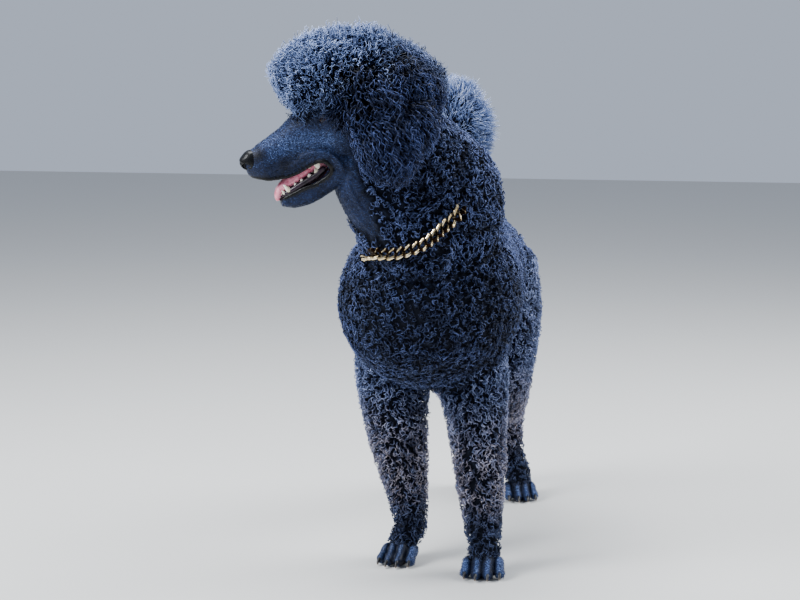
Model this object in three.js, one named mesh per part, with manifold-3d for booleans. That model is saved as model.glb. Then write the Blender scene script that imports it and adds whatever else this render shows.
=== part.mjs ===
// A life-size standing standard poodle, head turned to its right, mouth open, with a gold curb chain at the neck.
// Millimetres. +Z is up, the dog faces -Y, and +X is the dog's left. The feet stand on Z = 0.
import * as THREE from "three";
import { mergeVertices } from "three/addons/utils/BufferGeometryUtils.js";
import Module from "manifold-3d";

const wasm = await Module();
wasm.setup();

// Driving sizes, all over the coat
const chestWidth = 318;
const chestDepth = 345;
const sternum = -430; // where the forechest starts
const trunkLength = 705; // to the back of the buttocks
const bodyCoat = 30; // depth of the curls on the trunk
const neckCoat = 32;
const legCoat = 27;
const hockCoat = 18;
const topknotCoat = 78; // the long hair on the skull
const earCoat = 34;
const tailCoat = 14;
const pomCoat = 48;
const coreShare = 0.5; // the closed core of the coat reaches this far to the tips
const partGap = 0.3; // between nodes that touch
const bareThroat = 66; // half the width without curls, round the middle of the throat
const bareEye = 66; // no clump of curls grows nearer to an eye than this

// Where the parts meet
const shavedTo = 41; // height of the feet below the coat
const elbowCut = 309; // height where the forelegs leave the trunk
const flank = { y: 62, z: 350 }; // the hind legs leave the trunk from here up to the tail
const rump = { y: 262, z: 566 };
const tailCut = 618;
const pomCut = 700;

// Head, in its own frame
const noseTip = new THREE.Vector3(-286, -500, 738);
const headYaw = THREE.MathUtils.degToRad(72); // turned to the dog's right
const headPitch = THREE.MathUtils.degToRad(22); // muzzle down
const eyeRadius = 11.5;
const lidThickness = 2.8;
const toothWidth = 6.5; // across the root of a cheek tooth

// Gold chain
const linkPitch = 18.5;
const linkWidth = 16;
const linkLean = THREE.MathUtils.degToRad(38); // of each link, out of the line of the chain
const wireRadius = 2.7;
const chainHeight = 9; // of the links' middle over the core of the neck's coat
const chainClear = 0.5; // round the links, in the coat's groove

// A repeatable random number from 0 to 1
let seed = 41;
function random() {
  seed = (seed * 1664525 + 1013904223) % 4294967296;
  return seed / 4294967296;
}
const vary = (share) => 1 + share * (2 * random() - 1);

const vec = (x, y, z) => new THREE.Vector3(x, y, z);
const up = vec(0, 0, 1);
const down = vec(0, 0, -1);

// Closed geometry as a solid for cutting and joining
function toSolid(geometry) {
  const bare = new THREE.BufferGeometry().setAttribute("position", geometry.getAttribute("position"));
  bare.setIndex(geometry.getIndex());
  const merged = mergeVertices(bare, 1e-3);
  return new wasm.Manifold(
    new wasm.Mesh({
      numProp: 3,
      vertProperties: merged.attributes.position.array,
      triVerts: new Uint32Array(merged.index.array),
    }),
  );
}

const join = (...solids) => wasm.Manifold.union(solids.flat());

// The one closed body of a solid that is largest
function largest(solid) {
  const bodies = solid.decompose();
  return bodies.reduce((best, body) => (body.volume() > best.volume() ? body : best));
}

// The space on one side of some planes, each a point and the way that is kept, moved out by a margin
function spaceWithin(planes, margin = 0) {
  const everywhere = toSolid(new THREE.BoxGeometry(4000, 4000, 4000));
  return planes.reduce((space, { point, way }) => {
    const normal = way.clone().normalize();
    return space.trimByPlane(normal.toArray(), normal.dot(point) - margin);
  }, everywhere);
}

// Takes the part of a solid inside a space, and leaves the rest with the gap that parts keep
function takeFrom(solid, planes) {
  return [
    solid.intersect(spaceWithin(planes, -partGap / 2)),
    solid.subtract(spaceWithin(planes, partGap / 2)),
  ];
}

// A direction and a point in the head's own frame: back from the nose tip, up, and to the head's left
const headForward = vec(
  -Math.sin(headYaw) * Math.cos(headPitch),
  -Math.cos(headYaw) * Math.cos(headPitch),
  -Math.sin(headPitch),
);
const headLeft = vec(Math.cos(headYaw), -Math.sin(headYaw), 0);
const headUp = headForward.clone().cross(headLeft).normalize();
function headWay(back, up, left = 0) {
  return vec(0, 0, 0)
    .addScaledVector(headForward, -back)
    .addScaledVector(headUp, up)
    .addScaledVector(headLeft, left);
}
const headPoint = (back, up, left = 0) => headWay(back, up, left).add(noseTip);

// A limb is a run of sections. Each has its centre, half-width, half-depth, the coat's depth there,
// the direction of its width, and how square it is (2 is an ellipse).
function section(at, wide, deep, coat = 0, side = vec(1, 0, 0), power = 2) {
  return { at, wide, deep, coat, side, power };
}

function limb(sections, { around = 12, steps = 1, ends = [0.6, 0.6], clump = 0, endTurns = [30, 60] } = {}) {
  return { sections, around, steps, ends, clump, endTurns };
}

// Smooth rings through a limb's sections, taken in by a share of the coat
function ringsOf({ sections, steps }, inset) {
  const spine = new THREE.CatmullRomCurve3(sections.map((s) => s.at));
  const sides = new THREE.CatmullRomCurve3(sections.map((s) => s.side));
  const sizes = new THREE.CatmullRomCurve3(sections.map((s) => vec(s.wide, s.deep, s.power)));
  const coats = new THREE.CatmullRomCurve3(sections.map((s) => vec(s.coat, 0, 0)));
  const count = (sections.length - 1) * steps;
  return Array.from({ length: count + 1 }, (_, i) => {
    const t = i / count;
    const along = spine.getTangent(t);
    const side = sides.getPoint(t);
    side.addScaledVector(along, -side.dot(along)).normalize();
    const size = sizes.getPoint(t);
    const coat = coats.getPoint(t).x;
    return {
      centre: spine.getPoint(t),
      along,
      side,
      up: along.clone().cross(side).normalize(),
      wide: Math.max(1, size.x - inset * coat),
      deep: Math.max(1, size.y - inset * coat),
      power: size.z,
      coat,
    };
  });
}

// The rings that round off one end of a limb, and its last point
function roundedEnd(ring, reach, way, turns) {
  const length = reach * Math.min(ring.wide, ring.deep) * way;
  const rings = turns.map((degrees) => {
    const turn = THREE.MathUtils.degToRad(degrees);
    return {
      ...ring,
      centre: ring.centre.clone().addScaledVector(ring.along, length * Math.sin(turn)),
      wide: ring.wide * Math.cos(turn),
      deep: ring.deep * Math.cos(turn),
    };
  });
  return { rings, tip: ring.centre.clone().addScaledVector(ring.along, length) };
}

function ringPoint(ring, angle) {
  const bulge = (value) => Math.sign(value) * Math.abs(value) ** (2 / ring.power);
  return ring.centre
    .clone()
    .addScaledVector(ring.side, ring.wide * bulge(Math.cos(angle)))
    .addScaledVector(ring.up, ring.deep * bulge(Math.sin(angle)));
}

// A closed skin over rings, with a point at each end
function skinOver(start, rings, finish, around) {
  const points = [start];
  for (const ring of rings) {
    for (let k = 0; k < around; k++) points.push(ringPoint(ring, (2 * Math.PI * k) / around));
  }
  points.push(finish);
  const last = rings.length - 1;
  const at = (ring, k) => 1 + ring * around + (k % around);
  const index = [];
  for (let k = 0; k < around; k++) {
    index.push(0, at(0, k + 1), at(0, k));
    index.push(points.length - 1, at(last, k), at(last, k + 1));
    for (let r = 0; r < last; r++) {
      index.push(at(r, k), at(r, k + 1), at(r + 1, k + 1));
      index.push(at(r, k), at(r + 1, k + 1), at(r + 1, k));
    }
  }
  return toSolid(new THREE.BufferGeometry().setFromPoints(points).setIndex(index));
}

function solidLimb(shape, inset = 0) {
  const rings = ringsOf(shape, inset);
  const first = roundedEnd(rings[0], shape.ends[0], -1, shape.endTurns);
  const last = roundedEnd(rings[rings.length - 1], shape.ends[1], 1, shape.endTurns);
  return skinOver(
    first.tip,
    [...first.rings.reverse(), ...rings, ...last.rings],
    last.tip,
    shape.around,
  );
}

// A ball with half-sizes across, along and up
function ball(centre, sizes, upWay, acrossWay, around = 8, high = 6) {
  return stretched(new THREE.SphereGeometry(1, around, high), centre, sizes, upWay, acrossWay);
}

// A unit shape given half-sizes across, along and up
function stretched(geometry, centre, [across, along, up], upWay, acrossWay) {
  const z = upWay.clone().normalize();
  const x = acrossWay.clone().addScaledVector(z, -acrossWay.dot(z)).normalize();
  const y = z.clone().cross(x);
  const matrix = new THREE.Matrix4().makeBasis(
    x.multiplyScalar(across),
    z.multiplyScalar(up),
    y.multiplyScalar(-along),
  );
  return toSolid(geometry.applyMatrix4(matrix.setPosition(centre)));
}

// A closed tube round a loop of places, each with the way out of the loop and half-sizes out and across
function loopTube(places, sides, phase = 0) {
  const count = places.length;
  const points = places.flatMap(({ at, out, thick, high }, i) => {
    const along = places[(i + 1) % count].at.clone().sub(places[(i + count - 1) % count].at).normalize();
    const outward = out.clone().addScaledVector(along, -out.dot(along)).normalize();
    const over = along.clone().cross(outward);
    return Array.from({ length: sides }, (_, k) => {
      const angle = (2 * Math.PI * (k + phase)) / sides;
      return at
        .clone()
        .addScaledVector(outward, thick * Math.cos(angle))
        .addScaledVector(over, high * Math.sin(angle));
    });
  });
  const at = (i, k) => (i % count) * sides + (k % sides);
  const index = [];
  for (let i = 0; i < count; i++) {
    for (let k = 0; k < sides; k++) {
      index.push(at(i, k), at(i, k + 1), at(i + 1, k + 1));
      index.push(at(i, k), at(i + 1, k + 1), at(i + 1, k));
    }
  }
  return toSolid(new THREE.BufferGeometry().setFromPoints(points).setIndex(index));
}

// A blunt cone from its root to its point
function spike(root, tip, radius, sides = 3) {
  const way = tip.clone().sub(root);
  const geometry = new THREE.ConeGeometry(radius, way.length(), sides);
  geometry.applyQuaternion(new THREE.Quaternion().setFromUnitVectors(vec(0, 1, 0), way.clone().normalize()));
  const middle = root.clone().add(tip).multiplyScalar(0.5);
  return toSolid(geometry.translate(middle.x, middle.y, middle.z));
}

// Trunk, from the forechest to the buttocks
function trunkSection(share, x, z, wide, high) {
  const inner = sternum + 22 + share * (trunkLength - 44);
  return section(vec(x, inner, z), wide * chestWidth, high * chestDepth, bodyCoat);
}
const trunk = limb(
  [
    trunkSection(0, -20, 460, 0.3, 0.25),
    trunkSection(0.08, -20, 470, 0.43, 0.37),
    trunkSection(0.2, -18, 482, 0.51, 0.475),
    trunkSection(0.33, -15, 486, 0.49, 0.495),
    trunkSection(0.5, -12, 490, 0.435, 0.455),
    trunkSection(0.65, -9, 497, 0.395, 0.39),
    trunkSection(0.8, -8, 498, 0.345, 0.325),
    trunkSection(0.92, -6, 500, 0.32, 0.29),
    trunkSection(1, -6, 500, 0.24, 0.22),
  ],
  { around: 9, ends: [0.4, 0.4], clump: 62 },
);

// Neck, from inside the shoulders up to the skull, turning with the head
function turnedSide(degrees) {
  const turn = THREE.MathUtils.degToRad(degrees);
  return vec(Math.cos(turn), -Math.sin(turn), 0);
}
const neck = limb(
  [
    section(vec(-12, -245, 520), 124, 134, neckCoat, turnedSide(5)),
    section(vec(-8, -286, 590), 122, 142, neckCoat, turnedSide(22)),
    section(vec(-8, -320, 650), 116, 146, neckCoat, turnedSide(42)),
    section(vec(-24, -358, 708), 105, 134, neckCoat, turnedSide(58)),
    section(vec(-50, -392, 764), 96, 112, neckCoat, turnedSide(68)),
    section(vec(-72, -412, 812), 84, 94, neckCoat, turnedSide(72)),
  ],
  { around: 8, clump: 60 },
);

// The shaved throat, from under the jaw down to the chain
const throat = limb(
  [
    section(headPoint(186, -52), 38, 38, 0, headLeft),
    section(headPoint(166, -84), 38, 36, 0, headLeft),
    section(headPoint(165, -122), 40, 38, 0, headLeft),
    section(headPoint(178, -162), 42, 42, 0, headLeft),
    section(headPoint(188, -205), 42, 44, 0, headLeft),
  ],
  { around: 10, endTurns: [45] },
);

// Legs, from inside the trunk down to the end of the coat
const legStyle = { around: 7, clump: 44 };
const forelegs = {
  left: limb(
    [
      section(vec(40, -232, 430), 74, 98, legCoat),
      section(vec(52, -222, 350), 68, 80, legCoat),
      section(vec(60, -228, 280), 58, 68, legCoat),
      section(vec(68, -236, 200), 50, 56, legCoat),
      section(vec(74, -244, 120), 40, 44, hockCoat),
      section(vec(79, -252, 66), 33, 36, hockCoat),
      section(vec(80, -260, 34), 29, 31, hockCoat),
    ],
    legStyle,
  ),
  right: limb(
    [
      section(vec(-88, -192, 430), 76, 98, legCoat),
      section(vec(-98, -176, 350), 72, 80, legCoat),
      section(vec(-96, -176, 280), 63, 68, legCoat),
      section(vec(-85, -180, 200), 54, 56, legCoat),
      section(vec(-71, -184, 120), 39, 44, hockCoat),
      section(vec(-64, -188, 66), 32, 36, hockCoat),
      section(vec(-68, -194, 34), 28, 31, hockCoat),
    ],
    legStyle,
  ),
};
function hindleg(side, { hip, knee, hock, foot, back }) {
  return limb(
    [
      section(vec(side * 56, hip, 500), 58, 112, legCoat),
      section(vec(side * 60, hip + 2, 415), 64, 108, legCoat),
      section(vec(side * 60, knee, 330), 58, 84, legCoat),
      section(vec(side * 53, knee + 64, 250), 45, 60, legCoat),
      section(vec(side * hock, back - 10, 182), 36, 46, hockCoat),
      section(vec(side * hock, back, 130), 31, 40, hockCoat),
      section(vec(side * (hock + foot) * 0.5, back - 6, 74), 28, 33, hockCoat),
      section(vec(side * foot, back - 12, 34), 26, 29, hockCoat),
    ],
    legStyle,
  );
}
const hindlegs = {
  left: hindleg(1, { hip: 176, knee: 160, hock: 36, foot: 56, back: 346 }),
  right: hindleg(-1, { hip: 184, knee: 182, hock: 32, foot: 40, back: 396 }),
};

// Tail, carried up and leaning to the dog's right, with its clipped pompon
const tail = limb(
  [
    section(vec(-4, 200, 560), 38, 38, tailCoat),
    section(vec(-10, 228, 620), 30, 30, tailCoat),
    section(vec(-32, 236, 670), 26, 26, tailCoat),
    section(vec(-54, 234, 720), 24, 24, tailCoat),
  ],
  { around: 7, clump: 26 },
);
const pompon = limb(
  [
    section(vec(-46, 235, 700), 42, 42, pomCoat * 0.6),
    section(vec(-56, 234, 734), 74, 74, pomCoat),
    section(vec(-66, 232, 778), 86, 86, pomCoat),
    section(vec(-72, 230, 822), 68, 68, pomCoat),
  ],
  { around: 8, ends: [0.4, 0.55], clump: 42 },
);

// Skull and upper jaw: each section has its top, bottom and half-width in the head's frame
function headSection(back, top, bottom, wide, power = 2, coat = 0) {
  return section(headPoint(back, (top + bottom) / 2), wide, (top - bottom) / 2, coat, headLeft, power);
}
const skull = limb(
  [
    headSection(4, 3, -37, 14, 2.2),
    headSection(15, 8, -43, 18, 2.3),
    headSection(34, 12, -48, 21.5, 2.4),
    headSection(62, 18, -51, 24, 2.6),
    headSection(90, 26, -48, 28, 2.6),
    headSection(112, 36, -42, 36, 2.4),
    headSection(134, 48, -46, 46, 2.2),
    headSection(148, 54, -54, 52, 2.1),
    headSection(168, 59, -67, 56, 2.1),
    headSection(205, 56, -64, 56),
    headSection(250, 40, -50, 48),
  ],
  { around: 12, ends: [0.5, 0.6], endTurns: [45] },
);
const topknot = limb(
  [
    headSection(126, 138, 4, 84, 2, topknotCoat * 0.7),
    headSection(154, 156, 6, 106, 2, topknotCoat * 0.85),
    headSection(190, 160, -20, 116, 2, topknotCoat),
    headSection(240, 140, -52, 112, 2, topknotCoat),
    headSection(284, 94, -76, 98, 2, topknotCoat * 0.9),
    headSection(314, 56, -92, 80, 2, topknotCoat * 0.75),
  ],
  { around: 9, ends: [0.5, 0.5], clump: 48 },
);

// Lower jaw, and the tongue that lies in it
function mouthLimb(places, around, ends, grow) {
  const sections = places.map(([back, top, bottom, wide]) =>
    headSection(back, top + grow, bottom - grow, wide + grow, 2.4),
  );
  return solidLimb(limb(sections, { around, ends, endTurns: [45] }));
}
const jawPlaces = [
  [166, -46, -98, 40],
  [136, -60, -104, 36],
  [104, -66, -110, 28],
  [74, -75, -114, 22],
  [48, -84, -108, 17],
];
const tonguePlaces = [
  [136, -56, -72, 17],
  [110, -58, -78, 17],
  [78, -63, -84, 15],
  [52, -70, -86, 12],
  [36, -78, -90, 10],
];
const jaw = (grow = 0) => mouthLimb(jawPlaces, 8, [0.4, 0.7], grow);
const tongue = (grow = 0) => mouthLimb(tonguePlaces, 7, [0.3, 0.8], grow);
const tongueRoom = tongue(2 * partGap);
const jawSplit = 138; // behind this the lower jaw is one with the head

// The hollow between the upper lips
const palate = solidLimb(
  limb(
    [
      headSection(24, -40, -60, 11, 2.4),
      headSection(60, -38, -66, 17, 2.4),
      headSection(100, -34, -64, 21, 2.4),
      headSection(136, -40, -66, 26, 2.4),
    ],
    { around: 7, ends: [0.3, 0.3], endTurns: [45] },
  ),
);

// A lip is a rounded ridge along the mouth's line, through places given as back, up and out
function lip(places, side, radius) {
  return solidLimb(
    limb(
      places.map(([back, up, out]) => section(headPoint(back, up, side * out), radius, radius, 0, headUp)),
      { around: 4, ends: [0.7, 0.7], endTurns: [] },
    ),
  );
}
const upperLipLine = [
  [14, -38, 7],
  [32, -44, 17.5],
  [62, -48, 21.5],
  [92, -45, 25],
  [116, -41, 33],
  [140, -54, 42],
];
const lowerLipLine = [
  [137, -68, 31],
  [112, -70, 27],
  [80, -77, 20],
  [56, -85, 15],
  [42, -90, 8],
];
const bothSides = [1, -1];
const upperLips = bothSides.map((side) => lip(upperLipLine, side, 3.6));
const lowerLips = (grow = 0) => bothSides.map((side) => lip(lowerLipLine, side, 3.8 + grow));

// Teeth, each a cone from its root to its tip: back, up, out, width and length
function tooth(side, [back, up, out, width, length], lean = 0) {
  const root = headPoint(back, up, side * out);
  return spike(root, root.clone().add(headWay(-lean, length, 0)), width / 2);
}
const upperCheekTeeth = [
  [99, -38, 22, toothWidth * 1.5, -12],
  [114, -35, 26, toothWidth * 1.8, -14],
];
const lowerCheekTeeth = [
  [82, -81, 16, toothWidth * 1.5, 11],
  [108, -77, 22, toothWidth * 1.9, 15],
];
const lowerCanine = [52, -89, 12, toothWidth * 1.3, 24];
const lowerIncisors = [[41, -93, 5, toothWidth * 0.9, 12]];
const upperTeeth = bothSides.flatMap((side) => upperCheekTeeth.map((place) => tooth(side, place)));
const lowerTeeth = bothSides.flatMap((side) => [
  ...[...lowerCheekTeeth, ...lowerIncisors].map((place) => tooth(side, place)),
  tooth(side, lowerCanine, 4),
]);

// Eyes and their lids, looking forward and out
const eyeAt = (side) => headPoint(151, 14, side * 41.5);
const gaze = (side) => headWay(-0.62, 0.06, side * 0.78).normalize();
const eyeball = (side, grow = 0) => {
  const radius = eyeRadius + grow;
  return ball(eyeAt(side), [radius, radius, radius], gaze(side), headUp, 8, 5);
};
function lids(side) {
  const front = gaze(side);
  const wide = headUp.clone().cross(front).normalize();
  const high = front.clone().cross(wide);
  const places = Array.from({ length: 10 }, (_, k) => {
    const turn = (2 * Math.PI * k) / 10;
    const away = vec(0, 0, 0)
      .addScaledVector(wide, 12.2 * Math.cos(turn))
      .addScaledVector(high, 8 * Math.sin(turn));
    const forward = Math.sqrt((eyeRadius + 1.5) ** 2 - away.lengthSq());
    return {
      at: eyeAt(side).add(away).addScaledVector(front, forward),
      out: away,
      thick: lidThickness,
      high: lidThickness,
    };
  });
  return loopTube(places, 4);
}

// Nose leather, parted from the muzzle by a slanted plane, with comma-shaped nostrils
const noseSpace = [{ point: headPoint(19, 9), way: headWay(-0.94, 0.34) }];
const noseWings = bothSides.map((side) =>
  ball(headPoint(9, -9, side * 8), [8, 9, 10], headUp, headLeft, 5, 4),
);
const nostrils = bothSides.map((side) =>
  ball(headPoint(3, -10, side * 9), [6, 8, 3.6], headUp, headWay(1, -0.3, side), 6, 3),
);

// Ears hang in a hollow of the coat, cupped towards the neck
const earCentre = { back: 217, up: -50, out: 92 };
function earBall(side, [across, along, up], shift = vec(0, 0, 0), around = 10, high = 7) {
  const at = headPoint(earCentre.back + shift.x, earCentre.up + shift.y, side * (earCentre.out + shift.z));
  return ball(at, [across, along, up], headUp, headLeft, around, high);
}
const earRoom = (side, grow) => earBall(side, [44 + grow, 70 + grow, 86 + grow], undefined, 9, 6);
const earCore = (side) => earBall(side, [27, 53, 69], undefined, 7, 5);
const earCup = (side) => earBall(side, [20, 32, 44], vec(0, -8, -34), 6, 4);

const legs = [forelegs.left, forelegs.right, hindlegs.left, hindlegs.right];
const coated = [trunk, neck, ...legs, tail, pompon, topknot];
const shaved = [skull, throat];

// The core of the coat, all of one piece
const core = join(
  coated.map((shape) => solidLimb(shape, coreShare)),
  shaved.map((shape) => solidLimb(shape)),
);

// The limb whose surface a point of the core lies on, with the coat's depth and the limb's size there
const surveyed = [...coated, ...shaved].map((shape) => ({ shape, rings: ringsOf(shape, coreShare) }));
function coatAt(point) {
  let found = { miss: Infinity };
  for (const { shape, rings } of surveyed) {
    for (const ring of rings) {
      const away = point.clone().sub(ring.centre);
      const narrow = Math.min(ring.wide, ring.deep);
      const miss = Math.abs(
        Math.hypot(
          away.dot(ring.side) / ring.wide,
          away.dot(ring.up) / ring.deep,
          away.dot(ring.along) / narrow,
        ) - 1,
      );
      if (miss < found.miss) found = { miss, shape, coat: ring.coat, narrow };
    }
  }
  return found;
}

// Whether a point of the coat would crowd the shaved face or throat
const bareFace = { back: 158, low: -130, high: 32, out: 70 }; // in the head's frame
const throatRings = ringsOf(throat, 0);
function nearShaved(point) {
  const fromNose = point.clone().sub(noseTip);
  const [back, above] = [-fromNose.dot(headForward), fromNose.dot(headUp)];
  const level = above > bareFace.low && above < bareFace.high;
  if (bothSides.some((side) => point.distanceTo(eyeAt(side)) < bareEye)) return true;
  if (level && back < bareFace.back && Math.abs(fromNose.dot(headLeft)) < bareFace.out) return true;
  return throatRings.some((ring) => {
    const away = point.clone().sub(ring.centre);
    const apart = Math.hypot(away.dot(ring.side), Math.min(0, away.dot(ring.up)) * 0.5, away.dot(ring.along));
    return apart < bareThroat && away.dot(ring.up) > 0;
  });
}

// The triangles of a solid, with the area up to each
function facesOf(solid) {
  const { vertProperties, triVerts } = solid.getMesh();
  const corner = (i) => vec(0, 0, 0).fromArray(vertProperties, 3 * i);
  const faces = [];
  let upTo = 0;
  for (let i = 0; i < triVerts.length; i += 3) {
    const face = new THREE.Triangle(corner(triVerts[i]), corner(triVerts[i + 1]), corner(triVerts[i + 2]));
    upTo += face.getArea();
    faces.push({ face, upTo });
  }
  return { faces, area: upTo };
}

function randomPlace({ faces, area }) {
  const aim = random() * area;
  const { face } = faces.find(({ upTo }) => upTo >= aim);
  const [u, v] = [random(), random()];
  const [s, t] = u + v > 1 ? [1 - u, 1 - v] : [u, v];
  const point = face.a
    .clone()
    .addScaledVector(face.b.clone().sub(face.a), s)
    .addScaledVector(face.c.clone().sub(face.a), t);
  return { point, normal: face.getNormal(vec(0, 0, 0)) };
}

// Places spread evenly over a core, for the clumps of the coat
function clumpSites(solid, darts, describe) {
  const surface = facesOf(solid);
  const sites = [];
  for (let dart = 0; dart < darts; dart++) {
    const place = randomPlace(surface);
    const found = describe(place.point);
    if (!found) continue;
    const near = (site) => site.point.distanceTo(place.point) < Math.min(found.apart, site.apart);
    if (!sites.some(near)) sites.push({ ...place, ...found });
  }
  return sites;
}

// A rounded clump of curls, sunk in the core and reaching the coat's full depth
function clump({ point, normal, coat, size }) {
  const tilt = vec(random() - 0.5, random() - 0.5, random() - 0.5).multiplyScalar(0.25);
  const way = normal.clone().add(tilt).normalize();
  const side = vec(random() - 0.5, random() - 0.5, random() - 0.5).cross(way).normalize();
  const reach = (1 - coreShare) * coat * vary(0.1);
  const place = (height) => point.clone().addScaledVector(way, height * reach);
  const { sides, profile } = coat > longCoat ? longClump : shortClump;
  const rings = profile.map(([height, radius]) => ({
    centre: place(height),
    side,
    up: way.clone().cross(side),
    wide: radius * size * vary(0.08),
    deep: radius * size * vary(0.08),
    power: 2,
  }));
  return skinOver(place(-0.8), rings, place(1.06), sides);
}

const longCoat = 40;
// Heights above the core, as shares of the reach, with the radii there
const shortClump = {
  sides: 5,
  profile: [
    [-0.4, 1],
    [0.62, 0.72],
  ],
};
const longClump = {
  sides: 6,
  profile: [
    [-0.3, 0.9],
    [0.4, 1.18],
    [0.86, 0.72],
  ],
};
const smallestClump = 39;
const clumpApart = 1.74; // of a clump's radius
const bodySites = clumpSites(core, 9000, (point) => {
  const { shape, coat, narrow } = coatAt(point);
  if (!shape.clump || coat <= 2 || point.z < shavedTo || nearShaved(point)) return null;
  const size = Math.min(shape.clump, Math.max(smallestClump, 0.6 * narrow));
  return { coat, size, apart: clumpApart * size };
});
const bodyCoatSolid = join(core, bodySites.map(clump));

const earClump = 36;
function ear(side) {
  const leather = earCore(side);
  const sites = clumpSites(leather, 700, (point) => {
    const out = point.clone().sub(headPoint(0, 0, side * (earCentre.out - 8))).dot(headLeft) * side;
    if (out < 0) return null;
    return { coat: earCoat, size: earClump, apart: clumpApart * earClump };
  });
  return join(leather, sites.map(clump))
    .intersect(earRoom(side, -partGap))
    .subtract(earCup(side));
}

// Chain: a loop round the neck, each place given as a turn from the dog's right and a height
const chainAxis = (z) => vec(-14, -318, z);
const chainPlaces = [
  [-140, 574],
  [-112, 566],
  [-96, 569],
  [-80, 593],
  [-64, 630],
  [-45, 666],
  [-15, 698],
  [25, 712],
  [70, 716],
  [115, 700],
  [155, 664],
  [190, 612],
];
const coatCaster = new THREE.Raycaster();
const meshOf = (solid, material = new THREE.MeshBasicMaterial({ side: THREE.DoubleSide })) => {
  const { vertProperties, numProp, triVerts } = solid.getMesh();
  const geometry = new THREE.BufferGeometry()
    .setAttribute("position", new THREE.BufferAttribute(vertProperties, numProp))
    .setIndex(new THREE.BufferAttribute(triVerts, 1));
  return new THREE.Mesh(geometry, material);
};
const coreMesh = meshOf(core);
function onNeck([degrees, z], above) {
  const turn = THREE.MathUtils.degToRad(degrees);
  const way = vec(Math.cos(turn), Math.sin(turn), 0);
  coatCaster.set(chainAxis(z), way);
  const [hit] = coatCaster.intersectObject(coreMesh);
  return hit.point.addScaledVector(way, above);
}
const chainPath = new THREE.CatmullRomCurve3(
  chainPlaces.map((place) => onNeck(place, chainHeight)),
  true,
);
function chainFrame(share) {
  const at = chainPath.getPointAt(share % 1);
  const along = chainPath.getTangentAt(share % 1);
  const out = at.clone().sub(chainAxis(at.z));
  out.addScaledVector(along, -out.dot(along)).normalize();
  return { at, along, out, over: along.clone().cross(out) };
}
const linkCount = Math.round(chainPath.getLength() / linkPitch);
const linkLength = linkPitch + 1.2 * wireRadius;
const linkReach = (share) => share * (linkWidth / 2 - wireRadius) + wireRadius;
function link(index) {
  const { at, along, out, over } = chainFrame(index / linkCount);
  const wide = over
    .clone()
    .multiplyScalar(Math.cos(linkLean))
    .addScaledVector(out, Math.sin(linkLean));
  const places = Array.from({ length: 4 }, (_, k) => {
    const turn = (Math.PI * k) / 2;
    const away = vec(0, 0, 0)
      .addScaledVector(along, (linkLength / 2 - wireRadius) * Math.cos(turn))
      .addScaledVector(wide, (linkWidth / 2 - wireRadius) * Math.sin(turn));
    return { at: at.clone().add(away), out: away, thick: wireRadius, high: wireRadius };
  });
  return loopTube(places, 3);
}
const chain = join(Array.from({ length: linkCount }, (_, index) => link(index)));
const grooveDepth = 12;
const grooveTurns = 30;
const chainGroove = loopTube(
  Array.from({ length: grooveTurns }, (_, k) => {
    const { at, out } = chainFrame(k / grooveTurns);
    return {
      at: at.clone().addScaledVector(out, grooveDepth),
      out,
      thick: (linkReach(Math.sin(linkLean)) + chainClear + grooveDepth) * Math.SQRT2,
      high: (linkReach(Math.cos(linkLean)) + chainClear) * Math.SQRT2,
    };
  }),
  4,
  0.5,
);

// A paw has four toes with claws, a pad behind them, and a wrist that runs up into the coat
function paw({ x, y, turn, spread }) {
  const facing = THREE.MathUtils.degToRad(turn); // from straight ahead to the dog's left
  const ahead = vec(Math.sin(facing), -Math.cos(facing), 0);
  const left = vec(Math.cos(facing), Math.sin(facing), 0);
  const place = (forward, out, z) => vec(x, y, z).addScaledVector(ahead, forward).addScaledVector(left, out);
  const toes = [-1.45, -0.5, 0.5, 1.45].flatMap((slot) => {
    const outer = Math.abs(slot) > 1;
    const out = slot * spread;
    const fan = 1 + 0.16 * (outer ? 1 : 0.6);
    const start = outer ? -14 : -4;
    const toe = limb(
      [
        section(place(start, out * 0.82, 32), 9.5, 11, 0, left),
        section(place(start + 22, out * 0.96, 24), 10.5, 13, 0, left),
        section(place(start + 38, out * fan, 7.5), 10, 13, 0, left),
      ],
      { around: 5, ends: [0.3, 0.6], endTurns: [] },
    );
    const claw = spike(place(start + 42, out * fan * 1.01, 15), place(start + 62, out * fan * 1.06, 4), 4);
    return [solidLimb(toe), claw];
  });
  const wrist = limb(
    [
      section(place(-22, 0, 70), 24, 26, 0, left),
      section(place(-18, 0, 44), 24, 27, 0, left),
      section(place(-10, 0, 24), 27, 24, 0, left),
    ],
    { around: 6, ends: [0.5, 0.5], endTurns: [] },
  );
  const pad = ball(place(-10, 0, 9), [21, 18, 13], up, left, 5, 3);
  const room = spaceWithin([
    { point: vec(0, 0, 0), way: up },
    { point: vec(0, 0, shavedTo - partGap / 2), way: down },
  ]);
  return join(toes, solidLimb(wrist), pad).intersect(room);
}
const paws = {
  paw_fore_left: { x: 82, y: -270, turn: 4, spread: 19.5 },
  paw_fore_right: { x: -77, y: -212, turn: -10, spread: 17.5 },
  paw_hind_left: { x: 61, y: 330, turn: 18, spread: 16.5 },
  paw_hind_right: { x: -42, y: 388, turn: 0, spread: 16.5 },
};

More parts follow.
